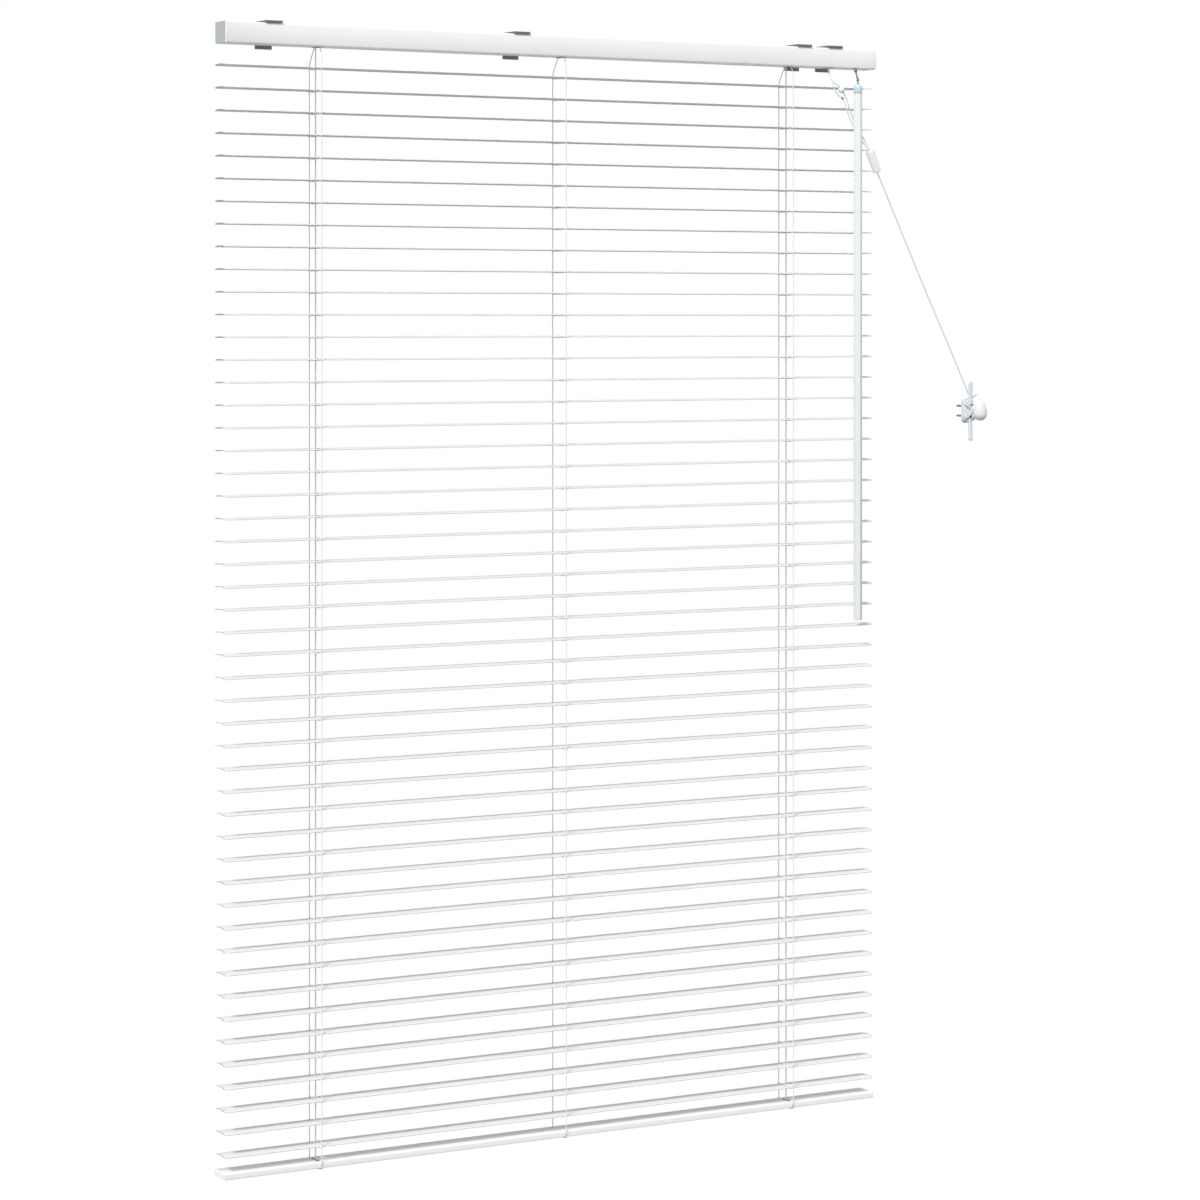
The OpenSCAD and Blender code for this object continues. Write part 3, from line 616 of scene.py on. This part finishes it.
def make_stop():
    """Bead on the left strand, with a band round its middle."""
    hole, r = 1.0, 3.5
    low = math.degrees(math.asin(math.sqrt(r * r - hole * hole) / r))
    outer = [(u, v) for u, v in arc(0, 0, r, -low, low, 16)]
    outer = [(u + (0.25 if abs(v) < 0.6 else 0), v) for u, v in outer]
    inner = [(hole, outer[-1][1] - 0.3), (hole - 0.1, 0), (hole, outer[0][1] + 0.3)]
    direction = Vector((-0.669, 0, 0.743))
    return lathe_piece("cord_stop", outer + inner, axis_place(STOP, direction), STOP_PLASTIC, "headrail",
                       32, closed=True)


def make_crimp():
    direction = Vector((-1, 0, 1))
    half = 1.2
    outer = [(0.95, -half), (1.15, -half + 0.2), (1.15, -0.4), (0.95, -0.25), (0.95, 0.25), (1.15, 0.4),
             (1.15, half - 0.2), (0.95, half)]
    return lathe_piece("crimp", outer + [(0.68, half), (0.68, -half)], axis_place(CRIMP, direction), ZINC,
                       "headrail", 20, closed=True)


def free_cord(name, points, radius):
    route = smooth_route(points)
    piece = tube_piece(name, route, radius, CORD, "headrail", 12)
    return piece


def make_cords():
    joiner, knob, stop, crimp = make_joiner(), make_knob(), make_stop(), make_crimp()
    left = free_cord("left_pull_cord", LEFT_STRING[LEFT_EXIT:], LIFT_R)
    free_cord("right_pull_cord", RIGHT_STRING[RIGHT_EXIT:], LIFT_R)
    free_cord("single_pull_cord", SINGLE_CORD, PULL_R)
    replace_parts(left, "lift_cords")
    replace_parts(joiner, "cord_hardware")
    tube_piece("left_lift_cord", smooth_route(LEFT_STRING[:LEFT_EXIT + 1]), LIFT_R, CORD, "headrail")
    tube_piece("right_lift_cord", smooth_route(RIGHT_STRING[:RIGHT_EXIT + 1]), LIFT_R, CORD, "headrail")


make_cords()

# ---------------------------------------------------------------- slats

CORNER_R = 3.0
SLOT_HALF_W, SLOT_HALF_L = 2.0, 7.0
NOTCH_HALF_W, NOTCH_DEPTH = 1.2, 2.2
HALF_ROWS = [2.5, 5, 6.2, 6.8, 7, 8.2, 9.5, 10.3, 10.5, 10.9, 11.5, 12.2, HALF_W]
ROWS = [-y for y in reversed(HALF_ROWS)] + [0] + HALF_ROWS


def hole_half_width(y, centre, half_width):
    """Half width of a round hole end at y, where centre is the end's centre on the |y| axis."""
    return math.sqrt(max(half_width ** 2 - (abs(y) - centre) ** 2, 0.0))


def slat_columns():
    """Columns of the slat's grid: (x, ladder x or None, step from the ladder)."""
    columns = [(-HALF_LEN, None, 0), (-HALF_LEN + 4, None, 0), (-HALF_LEN + 40, None, 0)]
    for ladder in LADDERS:
        for step in (-6, -SLOT_HALF_W, -NOTCH_HALF_W, 0, NOTCH_HALF_W, SLOT_HALF_W, 6):
            columns.append((ladder + step, ladder, step))
    for x in (-190, -130, -65, 65, 130, 190):
        columns.append((x, None, 0))
    columns += [(HALF_LEN - 40, None, 0), (HALF_LEN - 4, None, 0), (HALF_LEN, None, 0)]
    return sorted(columns)


def slat_x(column, y):
    x, ladder, step = column
    if abs(x) > HALF_LEN - 1 and abs(y) > HALF_W - CORNER_R:
        rise = abs(y) - (HALF_W - CORNER_R)
        return math.copysign(HALF_LEN - CORNER_R + math.sqrt(CORNER_R ** 2 - rise ** 2), x)
    if ladder is None or step == 0 or abs(step) == 6:
        return x
    sign = math.copysign(1, step)
    if ladder != 0 and abs(step) == SLOT_HALF_W and 5 < abs(y) <= SLOT_HALF_L:
        return ladder + sign * max(hole_half_width(y, SLOT_HALF_L - SLOT_HALF_W, SLOT_HALF_W), 0.35)
    if ladder != 0 and abs(step) == NOTCH_HALF_W and abs(y) == SLOT_HALF_L:
        return ladder + sign * 0.18
    notch_end = HALF_W - NOTCH_DEPTH + NOTCH_HALF_W
    if abs(step) == NOTCH_HALF_W and HALF_W - NOTCH_DEPTH <= abs(y) < notch_end:
        return ladder + sign * max(hole_half_width(y, notch_end, NOTCH_HALF_W), 0.25)
    return x


def slat_hole(left, right, low, high):
    """True where a cell of the grid lies in a slot or in a notch."""
    if left[1] is None or left[1] != right[1]:
        return False
    span = max(abs(left[2]), abs(right[2]))
    middle = abs(low + high) / 2
    in_slot = left[1] != 0 and span <= SLOT_HALF_W and middle < SLOT_HALF_L
    return in_slot or (span <= NOTCH_HALF_W and middle > HALF_W - NOTCH_DEPTH)


def arc_height(y):
    return math.sqrt(SLAT_R ** 2 - y * y) - (SLAT_R - CROWN)


def slat_mesh():
    bm = bmesh.new()
    columns = slat_columns()
    grid = [[bm.verts.new((slat_x(c, y), y, arc_height(y))) for y in ROWS] for c in columns]
    for i, (left, right) in enumerate(zip(columns, columns[1:])):
        for j, (low, high) in enumerate(zip(ROWS, ROWS[1:])):
            if not slat_hole(left, right, low, high):
                bm.faces.new((grid[i][j], grid[i + 1][j], grid[i + 1][j + 1], grid[i][j + 1]))
    bmesh.ops.delete(bm, geom=[v for v in bm.verts if not v.link_faces], context="VERTS")
    bmesh.ops.recalc_face_normals(bm, faces=bm.faces)
    if bm.faces[0].normal.z < 0:
        bmesh.ops.reverse_faces(bm, faces=bm.faces)
    piece = finish_mesh("slat_blank", bm, SLAT_PAINT, None)
    modifier = piece.modifiers.new("thickness", "SOLIDIFY")
    modifier.thickness = SLAT_T * MM
    modifier.offset = -1
    apply_modifiers(piece)
    mesh = piece.data
    bpy.data.objects.remove(piece)
    set_rim(mesh, lambda p: max(0.0, 1 - min(HALF_W - abs(p.y), HALF_LEN - abs(p.x)) / 0.9))
    sharpen(mesh)
    return mesh


def sharpen(mesh, angle=50):
    bm = bmesh.new()
    bm.from_mesh(mesh)
    for face in bm.faces:
        face.smooth = True
    for edge in bm.edges:
        edge.smooth = not (len(edge.link_faces) == 2 and edge.calc_face_angle() > math.radians(angle))
    bm.to_mesh(mesh)
    bm.free()


RUNG_R = 0.28
KNOT = [(0, -1.1), (0.5, -0.9), (0.78, -0.35), (0.78, 0.35), (0.5, 0.9), (0, 1.1)]


def rung_mesh():
    """Two threads under the slat at each ladder, one each side of the lift cord, with a knot at each end."""
    bm = bmesh.new()
    under = -SLAT_T - RUNG_R - 0.05
    for x in LADDERS:
        for side in (-1, 1):
            half = [(x, LADDER_Y, 0.5), (x + side * 1.2, HALF_W + 0.3, under + 0.1),
                    (x + side * 2.4, HALF_W - 2.5, under),
                    (x + side * 2.8, 6, under), (x + side * 2.8, 2, under)]
            route = [(a, -b, c) for a, b, c in half] + half[::-1]
            add_tube(bm, smooth_route(route, 3), RUNG_R, 6)
            add_lathe(bm, KNOT, Matrix.Translation((x, side * LADDER_Y, 0)), 8)
    piece = finish_mesh("rung_blank", bm, THREAD, None, 60)
    mesh = piece.data
    bpy.data.objects.remove(piece)
    return mesh


def make_slats():
    slat, rungs = slat_mesh(), rung_mesh()
    for body in SLATS:
        place = (0, 0, pivot(body).z)
        piece = add_piece(body + "_strip", slat, body, place)
        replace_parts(piece, body)
        add_piece(body + "_rungs", rungs, body, place)


make_slats()

# ---------------------------------------------------------------- ladders

LADDER_CORD_R = 0.5
HEAD_EXITS = {-1: ROD.y - 7, 1: ROD.y + 6.2}
# Each row: the share of the way out from the headrail's hole to the slats' edges, and the height.
LADDER_TOPS = {
    -1: ((-0.6, -19), (0, -23.2), (0.42, -26), (0.8, -30), (0.97, -34.5), (1, -38.5)),
    1: ((-0.3, -19), (0, -23.2), (0.24, -26.5), (0.52, -30.5), (0.8, -35), (0.96, -39)),
}


def make_ladders():
    for side, body, word in ((-1, "ladder_front", "front"), (1, "ladder_back", "back")):
        for k, x in enumerate(LADDERS, 1):
            y = side * LADDER_Y
            upright = [(x, y, FIRST_Z), (x, y, RAIL_MID)]
            run = tube_piece(f"ladder_{k}_{word}_cord", upright, LADDER_CORD_R, THREAD, body, 8)
            if k == 1:
                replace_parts(run, body + "_cords")
            top_y = HEAD_EXITS[side]
            points = [(x, top_y + share * (y - top_y), z) for share, z in LADDER_TOPS[side]]
            route = smooth_route([*points, (x, y, FIRST_Z)], 5)
            top = tube_piece(f"ladder_{k}_{word}_top", route, LADDER_CORD_R, THREAD, None, 8)
            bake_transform(top)


make_ladders()

# ---------------------------------------------------------------- headrail

WALL = 0.8
FRONT, BACK = head_low.y, head_high.y
HEAD_TOP, HEAD_BOTTOM = head_high.z, head_low.z
BULGE = 0.8
LOCK_HOLE = (302.8, 311.7, -12.2, -5.4)


def bowed_front(z):
    """Y of the headrail's front at height z."""
    half = (HEAD_TOP - HEAD_BOTTOM) / 2
    radius = (half ** 2 + BULGE ** 2) / (2 * BULGE)
    return FRONT + radius - math.sqrt(radius ** 2 - (z - HEAD_BOTTOM - half) ** 2)


def headrail_profile():
    """Outside of the channel from the front lip, down the front, along the floor and up the back."""
    r = 1.4
    lip = 3.2
    top_front, bottom_front = bowed_front(HEAD_TOP - r), bowed_front(HEAD_BOTTOM + r)
    heights = [HEAD_TOP - r - (HEAD_TOP - HEAD_BOTTOM - 2 * r) * k / 10 for k in range(1, 10)]
    points = [(FRONT + lip, HEAD_TOP - 2.2), (FRONT + lip + 0.2, HEAD_TOP - 0.9)]
    points += arc(FRONT + lip - 0.7, HEAD_TOP - 0.9, 0.9, 0, 90, 4)
    points += arc(top_front + r, HEAD_TOP - r, r, 95, 180, 5)
    points += [(bowed_front(z), z) for z in heights]
    points += arc(bottom_front + r, HEAD_BOTTOM + r, r, 180, 270, 5)
    points += [(y, HEAD_BOTTOM) for y in (-12.2, -10.5, -5.4, 4.5)]
    points += arc(BACK - r, HEAD_BOTTOM + r, r, -90, 0, 5)
    points += arc(BACK - r, HEAD_TOP - r, r, 0, 85, 5)
    points += arc(BACK - lip + 0.7, HEAD_TOP - 0.9, 0.9, 90, 180, 4)
    points += [(BACK - lip, HEAD_TOP - 2.2)]
    return points


def in_floor_hole(x, y):
    if abs(min((x - ladder for ladder in LADDERS), key=abs)) < 3.6 and -10.5 < y < 4.5:
        return True
    return LOCK_HOLE[0] < x < LOCK_HOLE[1] and LOCK_HOLE[2] < y < LOCK_HOLE[3]


def make_headrail():
    profile = headrail_profile()
    columns = [-HALF_LEN, -HALF_LEN + 60, -200, -130, -65, 65, 130, 200, HALF_LEN - 8, HALF_LEN]
    columns += LOCK_HOLE[:2]
    columns = sorted(columns + [x + side * 3.6 for x in LADDERS for side in (-1, 1)])
    bm = bmesh.new()
    grid = [[bm.verts.new((x, y, z)) for y, z in profile] for x in columns]
    for i, (xa, xb) in enumerate(zip(columns, columns[1:])):
        for j, ((ya, za), (yb, zb)) in enumerate(zip(profile, profile[1:])):
            floor = za == HEAD_BOTTOM and zb == HEAD_BOTTOM
            if not (floor and in_floor_hole((xa + xb) / 2, (ya + yb) / 2)):
                bm.faces.new((grid[i][j], grid[i + 1][j], grid[i + 1][j + 1], grid[i][j + 1]))
    piece = finish_mesh("headrail_channel", bm, HEAD_PAINT, "headrail")
    middle = piece.data.polygons[len(profile) // 4]
    modifier = piece.modifiers.new("wall", "SOLIDIFY")
    modifier.thickness = WALL * MM
    modifier.offset = -1 if middle.normal.y < 0 else 1
    apply_modifiers(piece)
    cutter = bmesh.new()
    stem = Vector(JOINT_OF["tilter_worm"]["axis"])
    add_lathe(cutter, [(1.5, 2), (1.5, 22)], axis_place(EYE, stem), 24)
    cut(piece, cutter)
    sharpen(piece.data, 40)
    set_rim(piece.data, lambda p: max(0.0, 1 - (HALF_LEN - abs(p.x)) / 1.0))
    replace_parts(piece, "headrail")


make_headrail()

# ---------------------------------------------------------------- tilt rod, drums and worm wheel

WHEEL_TEETH = 12
# One tooth of the worm wheel: radius, and share of the pitch from the tooth's middle.
TOOTH = ((3.5, -0.34), (4.05, -0.2), (4.78, -0.11), (4.78, 0.11), (4.05, 0.2), (3.5, 0.34))


def make_tilt_shaft():
    along_x = Matrix.Rotation(math.pi / 2, 4, "Y")
    rod_low, rod_high = box_mm("tilt_shaft")
    length = rod_high.x - rod_low.x
    profile = [(0, 0), (2.1, 0), (2.5, 0.4), (2.5, length - 0.4), (2.1, length), (0, length)]
    place = Matrix.Translation((rod_low.x, ROD.y, ROD.z)) @ along_x
    rod = lathe_piece("tilt_rod", profile, place, ROD_STEEL, "tilt_shaft", 24)
    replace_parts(rod, "tilt_shaft")
    half = [(4.5, 0.4), (4.2, 0.5), (4.2, 4.5), (4.3, 4.8), (5.0, 5), (5.2, 5.2), (5.2, 5.8), (5.0, 6),
            (2.55, 6)]
    spool = [(radius, -height) for radius, height in reversed(half)] + half
    for k, x in enumerate(LADDERS, 1):
        place = Matrix.Translation((x, ROD.y, ROD.z)) @ along_x
        lathe_piece(f"drum_{k}", spool, place, WHITE_PLASTIC, "tilt_shaft", 36,
                    closed=True)
        bm = bmesh.new()
        for middle in (-2.6, 2.6):
            turns = []
            for step in range(33):
                a = step / 8 * math.pi
                lift = middle - 1 + step / 16
                turns.append(place @ Vector((4.65 * math.cos(a), 4.65 * math.sin(a), lift)))
            add_tube(bm, turns, 0.42, 8)
        finish_mesh(f"drum_{k}_turns", bm, THREAD, "tilt_shaft", 60)
    bm = bmesh.new()
    outline = []
    for k in range(WHEEL_TEETH):
        for radius, step in TOOTH:
            angle = math.radians(156) + (k + 0.5 + step * 0.8) * 2 * math.pi / WHEEL_TEETH
            outline.append((radius * math.cos(angle), radius * math.sin(angle)))
    add_prism(bm, outline, -1.2, 1.2, lambda u, v, w: (EYE.x + w, ROD.y + u, ROD.z + v))
    finish_mesh("worm_wheel", bm, WHITE_PLASTIC, "tilt_shaft", 30)


make_tilt_shaft()

# ---------------------------------------------------------------- wand


def make_wand():
    hook_ring = 2.3
    bm = bmesh.new()
    centre = Vector((EYE.x, EYE.y, EYE.z - hook_ring))
    turn = math.radians(60)
    circle = []
    for a in (math.radians(-70 + k * 320 / 28) for k in range(29)):
        spoke = Vector((math.cos(turn) * math.cos(a), math.sin(turn) * math.cos(a), math.sin(a)))
        circle.append(centre + hook_ring * spoke)
    add_tube(bm, circle, 0.45, 10)
    finish_mesh("wand_hook", bm, DARK_STEEL, "tilt_wand", 60)
    top, r = -37.3, 4.55
    skirt = -46.9
    cap = [(1.2, top - 0.1), (1.5, top), (1.75, top - 0.3), (1.8, top - 1.0)]
    cap += arc(0, top - r - 0.6, r, 62, 0, 8)
    cap += [(r, skirt + 1), (r - 0.15, skirt), (r - 0.55, skirt - 0.3), (r - 0.6, skirt + 0.6),
            (r - 0.9, top - 5.5), (2.4, top - 3.2), (1.2, top - 2.2)]
    piece = lathe_piece("wand_cap", cap, Matrix.Translation((EYE.x, EYE.y, 0)), BLUE_PLASTIC, "tilt_wand",
                        40, closed=True)
    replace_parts(piece, "tilt_wand")
    low = box_mm("tilt_wand")[0].z
    bm = bmesh.new()
    corners = []
    for k in range(6):
        for step in (-5, 5):
            a = math.radians(60 * k + 30 + step)
            corners.append((math.cos(a), math.sin(a)))
    rings = []
    sections = ((skirt + 0.8, 3.7), (skirt - 0.5, 3.75), (skirt - 1.0, 4.3),
                (low + 1.2, 4.3), (low + 0.3, 3.9), (low, 3.3))
    for z, size in sections:
        rings.append([bm.verts.new((EYE.x + size * u, EYE.y + size * v, z)) for u, v in corners])
    for a, b in zip(rings, rings[1:]):
        for k in range(len(corners)):
            n = (k + 1) % len(corners)
            bm.faces.new((a[k], a[n], b[n], b[k]))
    bm.faces.new(rings[0])
    bm.faces.new(rings[-1])
    finish_mesh("wand_rod", bm, WAND_PLASTIC, "tilt_wand", 25)
    pin = Matrix.Translation((EYE.x, EYE.y, -57)) @ Matrix.Rotation(math.radians(90), 4, "X")
    profile = [(0, 3.2), (0.7, 3.2), (0.7, 4.0), (0.45, 4.2), (0, 4.25)]
    lathe_piece("wand_pin", profile, pin, DARK_STEEL, "tilt_wand", 16)


make_wand()

# ---------------------------------------------------------------- bottom rail


def make_bottom_rail():
    half = HALF_LEN - 1.5
    outline = [(u, RAIL_MID + v) for u, v in round_box_outline(2 * HALF_W, RAIL_H, 0.8, 5)]
    bm = bmesh.new()
    add_prism(bm, outline, -half, half, lambda u, v, w: (w, u, v))
    piece = finish_mesh("rail_section", bm, RAIL_PAINT, "bottom_rail", 50)
    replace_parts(piece, "bottom_rail")
    cutter = bmesh.new()
    inner = [(u, RAIL_MID + v) for u, v in round_box_outline(2 * HALF_W - 1.8, RAIL_H - 1.8, 0.5, 2)]
    add_prism(cutter, inner, -half - 1, half + 1, lambda u, v, w: (w, u, v))
    cut(piece, cutter)
    cutter = bmesh.new()
    for x in (LADDERS[0], LADDERS[2]):
        slot = arc(x, 6.9, 1.6, 0, 180, 8) + arc(x, -6.9, 1.6, 180, 360, 8)
        add_prism(cutter, slot, RAIL_MID + 1, RAIL_MID + RAIL_H, lambda u, v, w: (u, v, w))
    cut(piece, cutter)
    sharpen(piece.data, 50)
    set_rim(piece.data, lambda p: max(0.0, 1 - (half - abs(p.x)) / 1.0))
    for side, word in ((-1, "left"), (1, "right")):
        bm = bmesh.new()
        add_prism(bm, outline, side * (half + 0.05), side * HALF_LEN, lambda u, v, w: (w, u, v))
        finish_mesh(f"rail_cap_{word}", bm, WHITE_PLASTIC, "bottom_rail", 40, bevel=0.3)
    bottom, top = RAIL_MID - RAIL_H / 2, RAIL_MID + RAIL_H / 2
    for k, x in enumerate(LADDERS, 1):
        plug = [(0, 0.8), (1.8, 0.8), (1.8, 0), (2.3, 0), (2.4, -0.2), (2.2, -0.75), (1.6, -0.9), (0, -0.9)]
        place = Matrix.Translation((x, -10.5, bottom))
        lathe_piece(f"rail_plug_{k}", plug, place, GREY_PLASTIC, "bottom_rail", 28)
        for side, word in ((-1, "front"), (1, "back")):
            edge, y = side * (HALF_W + 0.5), side * LADDER_Y
            foot = (x, side * 10.5, bottom - 0.4)
            bm = bmesh.new()
            for strand in (-1, 1):
                lean = x + strand * 1.0
                route = [(x, y, top + 1.5), (x + strand * 0.5, edge + side * 0.1, top - 1),
                         (lean, edge, RAIL_MID), (lean, edge - side * 0.2, bottom + 0.4),
                         (x + strand * 0.7, edge - side * 1.0, bottom - 0.4), foot]
                add_tube(bm, smooth_route(route, 4), 0.38, 8)
            finish_mesh(f"rail_loop_{k}_{word}", bm, THREAD, "bottom_rail", 60)


make_bottom_rail()

# ---------------------------------------------------------------- brackets and cleat


def make_bracket(k, x):
    """Bent steel strip: top plate with a turned-down nib in front, back plate ending in the lower tab."""
    t = 1.4
    front, back, low = FRONT - 0.5, BACK + 0.4 + t, -25.5
    outline = [(front + 0.05, -2.4), (front, -t + 0.2), *arc(front + 0.8, -0.8, 0.8, 180, 90, 4),
               *arc(back - 2, -2, 2, 90, 0, 6), (back, low + 0.4), (back - 0.3, low), (back - t + 0.3, low),
               (back - t, low + 0.4), *arc(back - t - 0.6, -t - 0.6, 0.6, 0, 90, 4), (front + 0.9, -t),
               (front + 0.5, -t - 0.3), (front + 0.4, -2.4)]
    bm = bmesh.new()
    add_prism(bm, outline, x - 8.5, x + 8.5, lambda u, v, w: (w, u, v))
    piece = finish_mesh(f"bracket_{k}", bm, ZINC, "headrail", 30)
    cutter = bmesh.new()
    for y in (-9, 1):
        add_lathe(cutter, [(1.8, -4), (1.8, 2)], Matrix.Translation((x, y, 0)), 24)
    for step in (-4, 4):
        place = Matrix.Translation((x + step, back + 2, -12.2)) @ Matrix.Rotation(math.pi / 2, 4, "X")
        add_lathe(cutter, [(1.8, 0), (1.8, 5)], place, 24)
    cut(piece, cutter)
    sharpen(piece.data, 30)
    return piece


def upright_prism(bm, height, width, front, back, steps=10):
    """Upright stadium round the cleat's centre, from front to back."""
    r = width / 2
    flat = height / 2 - r
    outline = arc(CLEAT.x, CLEAT.z + flat, r, 0, 180, steps)
    outline += arc(CLEAT.x, CLEAT.z - flat, r, 180, 360, steps)
    return add_prism(bm, outline, front, back, lambda u, v, w: (u, w, v))


def horn_bar():
    """The two horns: one blunt bar that sweeps a little forward towards its ends."""
    bm = bmesh.new()
    half, sides = 30.7, 16
    ends = ((0, 0.7), (0.25, 0.88), (0.8, 1))
    heights = [half - step for step, _ in ends] + [half - 0.8 - (half - 0.8) * k / 10 for k in range(1, 11)]
    shrinks = [shrink for _, shrink in ends] + [1] * 10
    rows = [(-h, s) for h, s in zip(heights, shrinks)]
    rows += [(h, s) for h, s in zip(heights[-2::-1], shrinks[-2::-1])]
    rings = []
    for height, shrink in rows:
        middle = -2.6 - (height / half) ** 2
        ring = []
        for a in (math.radians(i * 360 / sides) for i in range(sides)):
            u = math.copysign(abs(math.cos(a)) ** 0.5, math.cos(a))
            v = math.copysign(abs(math.sin(a)) ** 0.5, math.sin(a))
            across, forward = 2.2 * shrink * u, 1.6 * shrink * v
            ring.append(bm.verts.new((CLEAT.x + across, middle + forward, CLEAT.z + height)))
        rings.append(ring)
    for a, b in zip(rings, rings[1:]):
        for i in range(sides):
            n = (i + 1) % sides
            bm.faces.new((a[i], a[n], b[n], b[i]))
    bm.faces.new(rings[0])
    bm.faces.new(rings[-1])
    return bm


def screw_place(side, y):
    """Puts the Z axis along a cleat screw, towards the wall, with its origin at y."""
    spacing = 5.1
    return Matrix.Translation((CLEAT.x, y, CLEAT.z + side * spacing)) @ Matrix.Rotation(-math.pi / 2, 4, "X")


def make_cleat():
    wall = BACK + 1.8
    bm = bmesh.new()
    upright_prism(bm, 25.4, 7, wall - 2.4, wall)
    plate = finish_mesh("cleat_plate", bm, CLEAT_PLASTIC, "headrail", 40, bevel=0.5)
    bm = bmesh.new()
    upright_prism(bm, 20, 6.4, -1.6, wall - 2.3)
    finish_mesh("cleat_hub", bm, CLEAT_PLASTIC, "headrail", 40, bevel=0.4)
    horns = finish_mesh("cleat_horns", horn_bar(), CLEAT_PLASTIC, "headrail", 60)
    cutter = bmesh.new()
    for side in (-1, 1):
        place = screw_place(side, -6)
        add_lathe(cutter, [(2.0, 0), (2.0, 3.8)], place, 24)
    cut(horns, cutter)
    sharpen(horns.data, 40)
    tip = 22.4
    turns = 10
    pitch = (tip - 2.2 - wall) / turns
    for k, side in enumerate((-1, 1), 1):
        place = screw_place(side, 0)
        shank = [(1.1, -1.9), (1.1, wall)]
        for i in range(turns):
            z = wall + pitch * i
            shank += [(0.75, z + 0.25 * pitch), (1.1, z + 0.6 * pitch), (0.75, z + 0.95 * pitch)]
        shank += [(0.7, tip - 2), (0.15, tip - 0.1), (0, tip)]
        profile = [(0, -3.3), (1.0, -3.2), (1.6, -2.8), (1.88, -2.3), (1.85, -1.95), *shank]
        lathe_piece(f"cleat_screw_{k}", profile, place, DARK_STEEL, "headrail", 20)
    return plate


def make_mounting_hardware():
    for k, x in enumerate(BRACKETS, 1):
        make_bracket(k, x)
    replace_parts(make_cleat(), "mounting_hardware")


make_mounting_hardware()

# ---------------------------------------------------------------- CAD nodes that stay


def repaint(node, material):
    node = frame["nodes"][node]
    node.data.materials.clear()
    node.data.materials.append(material)


# The fittings' grey is painted shade on the end caps' outer faces.
repaint("headrail_fittings", CAP_PLASTIC)
repaint("tilter_worm", DARK_STEEL)

# ---------------------------------------------------------------- stage and light


def make_stage():
    """Pale floor under the blind that runs out into the white of the studio."""
    bm = bmesh.new()
    bmesh.ops.create_grid(bm, x_segments=8, y_segments=8, size=30)
    mesh = bpy.data.meshes.new("floor")
    bm.to_mesh(mesh)
    bm.free()
    floor = bpy.data.objects.new("floor", mesh)
    floor.location = (0, 0, -1.5)
    bpy.context.scene.collection.objects.link(floor)
    material, tree, shader, place = node_material("floor_paint")
    distance = tree.nodes.new("ShaderNodeVectorMath")
    distance.operation = "LENGTH"
    tree.links.new(place, distance.inputs[0])
    far = ranged(tree, distance.outputs["Value"], 0, 1, 0.4, 1.7)
    clouds = ranged(tree, noise(tree, place, 3, 2), 0, 1)
    pale = mixed(tree, clouds, (0.78, 0.785, 0.79), (0.8, 0.805, 0.81))
    tree.links.new(mixed(tree, far, pale, (0.0, 0.0, 0.0)), shader.inputs["Base Color"])
    tree.links.new(far, shader.inputs["Emission Strength"])
    shader.inputs["Emission Color"].default_value = (1, 1, 1, 1)
    shader.inputs["Roughness"].default_value = 0.9
    shader.inputs["Specular IOR Level"].default_value = 0.0
    floor.data.materials.append(material)
    floor.visible_diffuse = False
    floor.visible_glossy = False


# Brightness of the studio by the height of the direction, -1 straight down to 1 straight up.
STUDIO = ((-1, 0.4), (-0.12, 0.4), (-0.06, 1.0), (0.14, 1.0), (0.24, 0.72), (1, 0.72))


def make_world():
    """White studio: full light from the sides, a little less from above, half of it from below."""
    world = bpy.data.worlds.new("studio")
    bpy.context.scene.world = world
    world.use_nodes = True
    tree = world.node_tree
    background = tree.nodes["Background"]
    place = tree.nodes.new("ShaderNodeTexCoord").outputs["Generated"]
    ramp = tree.nodes.new("ShaderNodeValToRGB")
    stops = ramp.color_ramp.elements
    for height, _ in STUDIO[1:-1]:
        stops.new((height + 1) / 2)
    for stop, (height, light) in zip(stops, STUDIO):
        stop.position = (height + 1) / 2
        stop.color = (light, light, light, 1)
    tree.links.new(ranged(tree, axis_value(tree, place, "Z"), 0, 1, -1, 1), ramp.inputs["Fac"])
    tree.links.new(ramp.outputs["Color"], background.inputs["Color"])
    background.inputs["Strength"].default_value = 1.0


def make_key():
    """Soft key light from above, in front and to the left."""
    data = bpy.data.lights.new("key", "SUN")
    data.energy = 2.3
    data.angle = math.radians(8)
    light = bpy.data.objects.new("key", data)
    light.rotation_euler = Vector((0.552, 0.414, -0.724)).to_track_quat("-Z", "Y").to_euler()
    bpy.context.scene.collection.objects.link(light)


make_stage()
make_world()
make_key()
bpy.context.scene.view_settings.view_transform = "Standard"
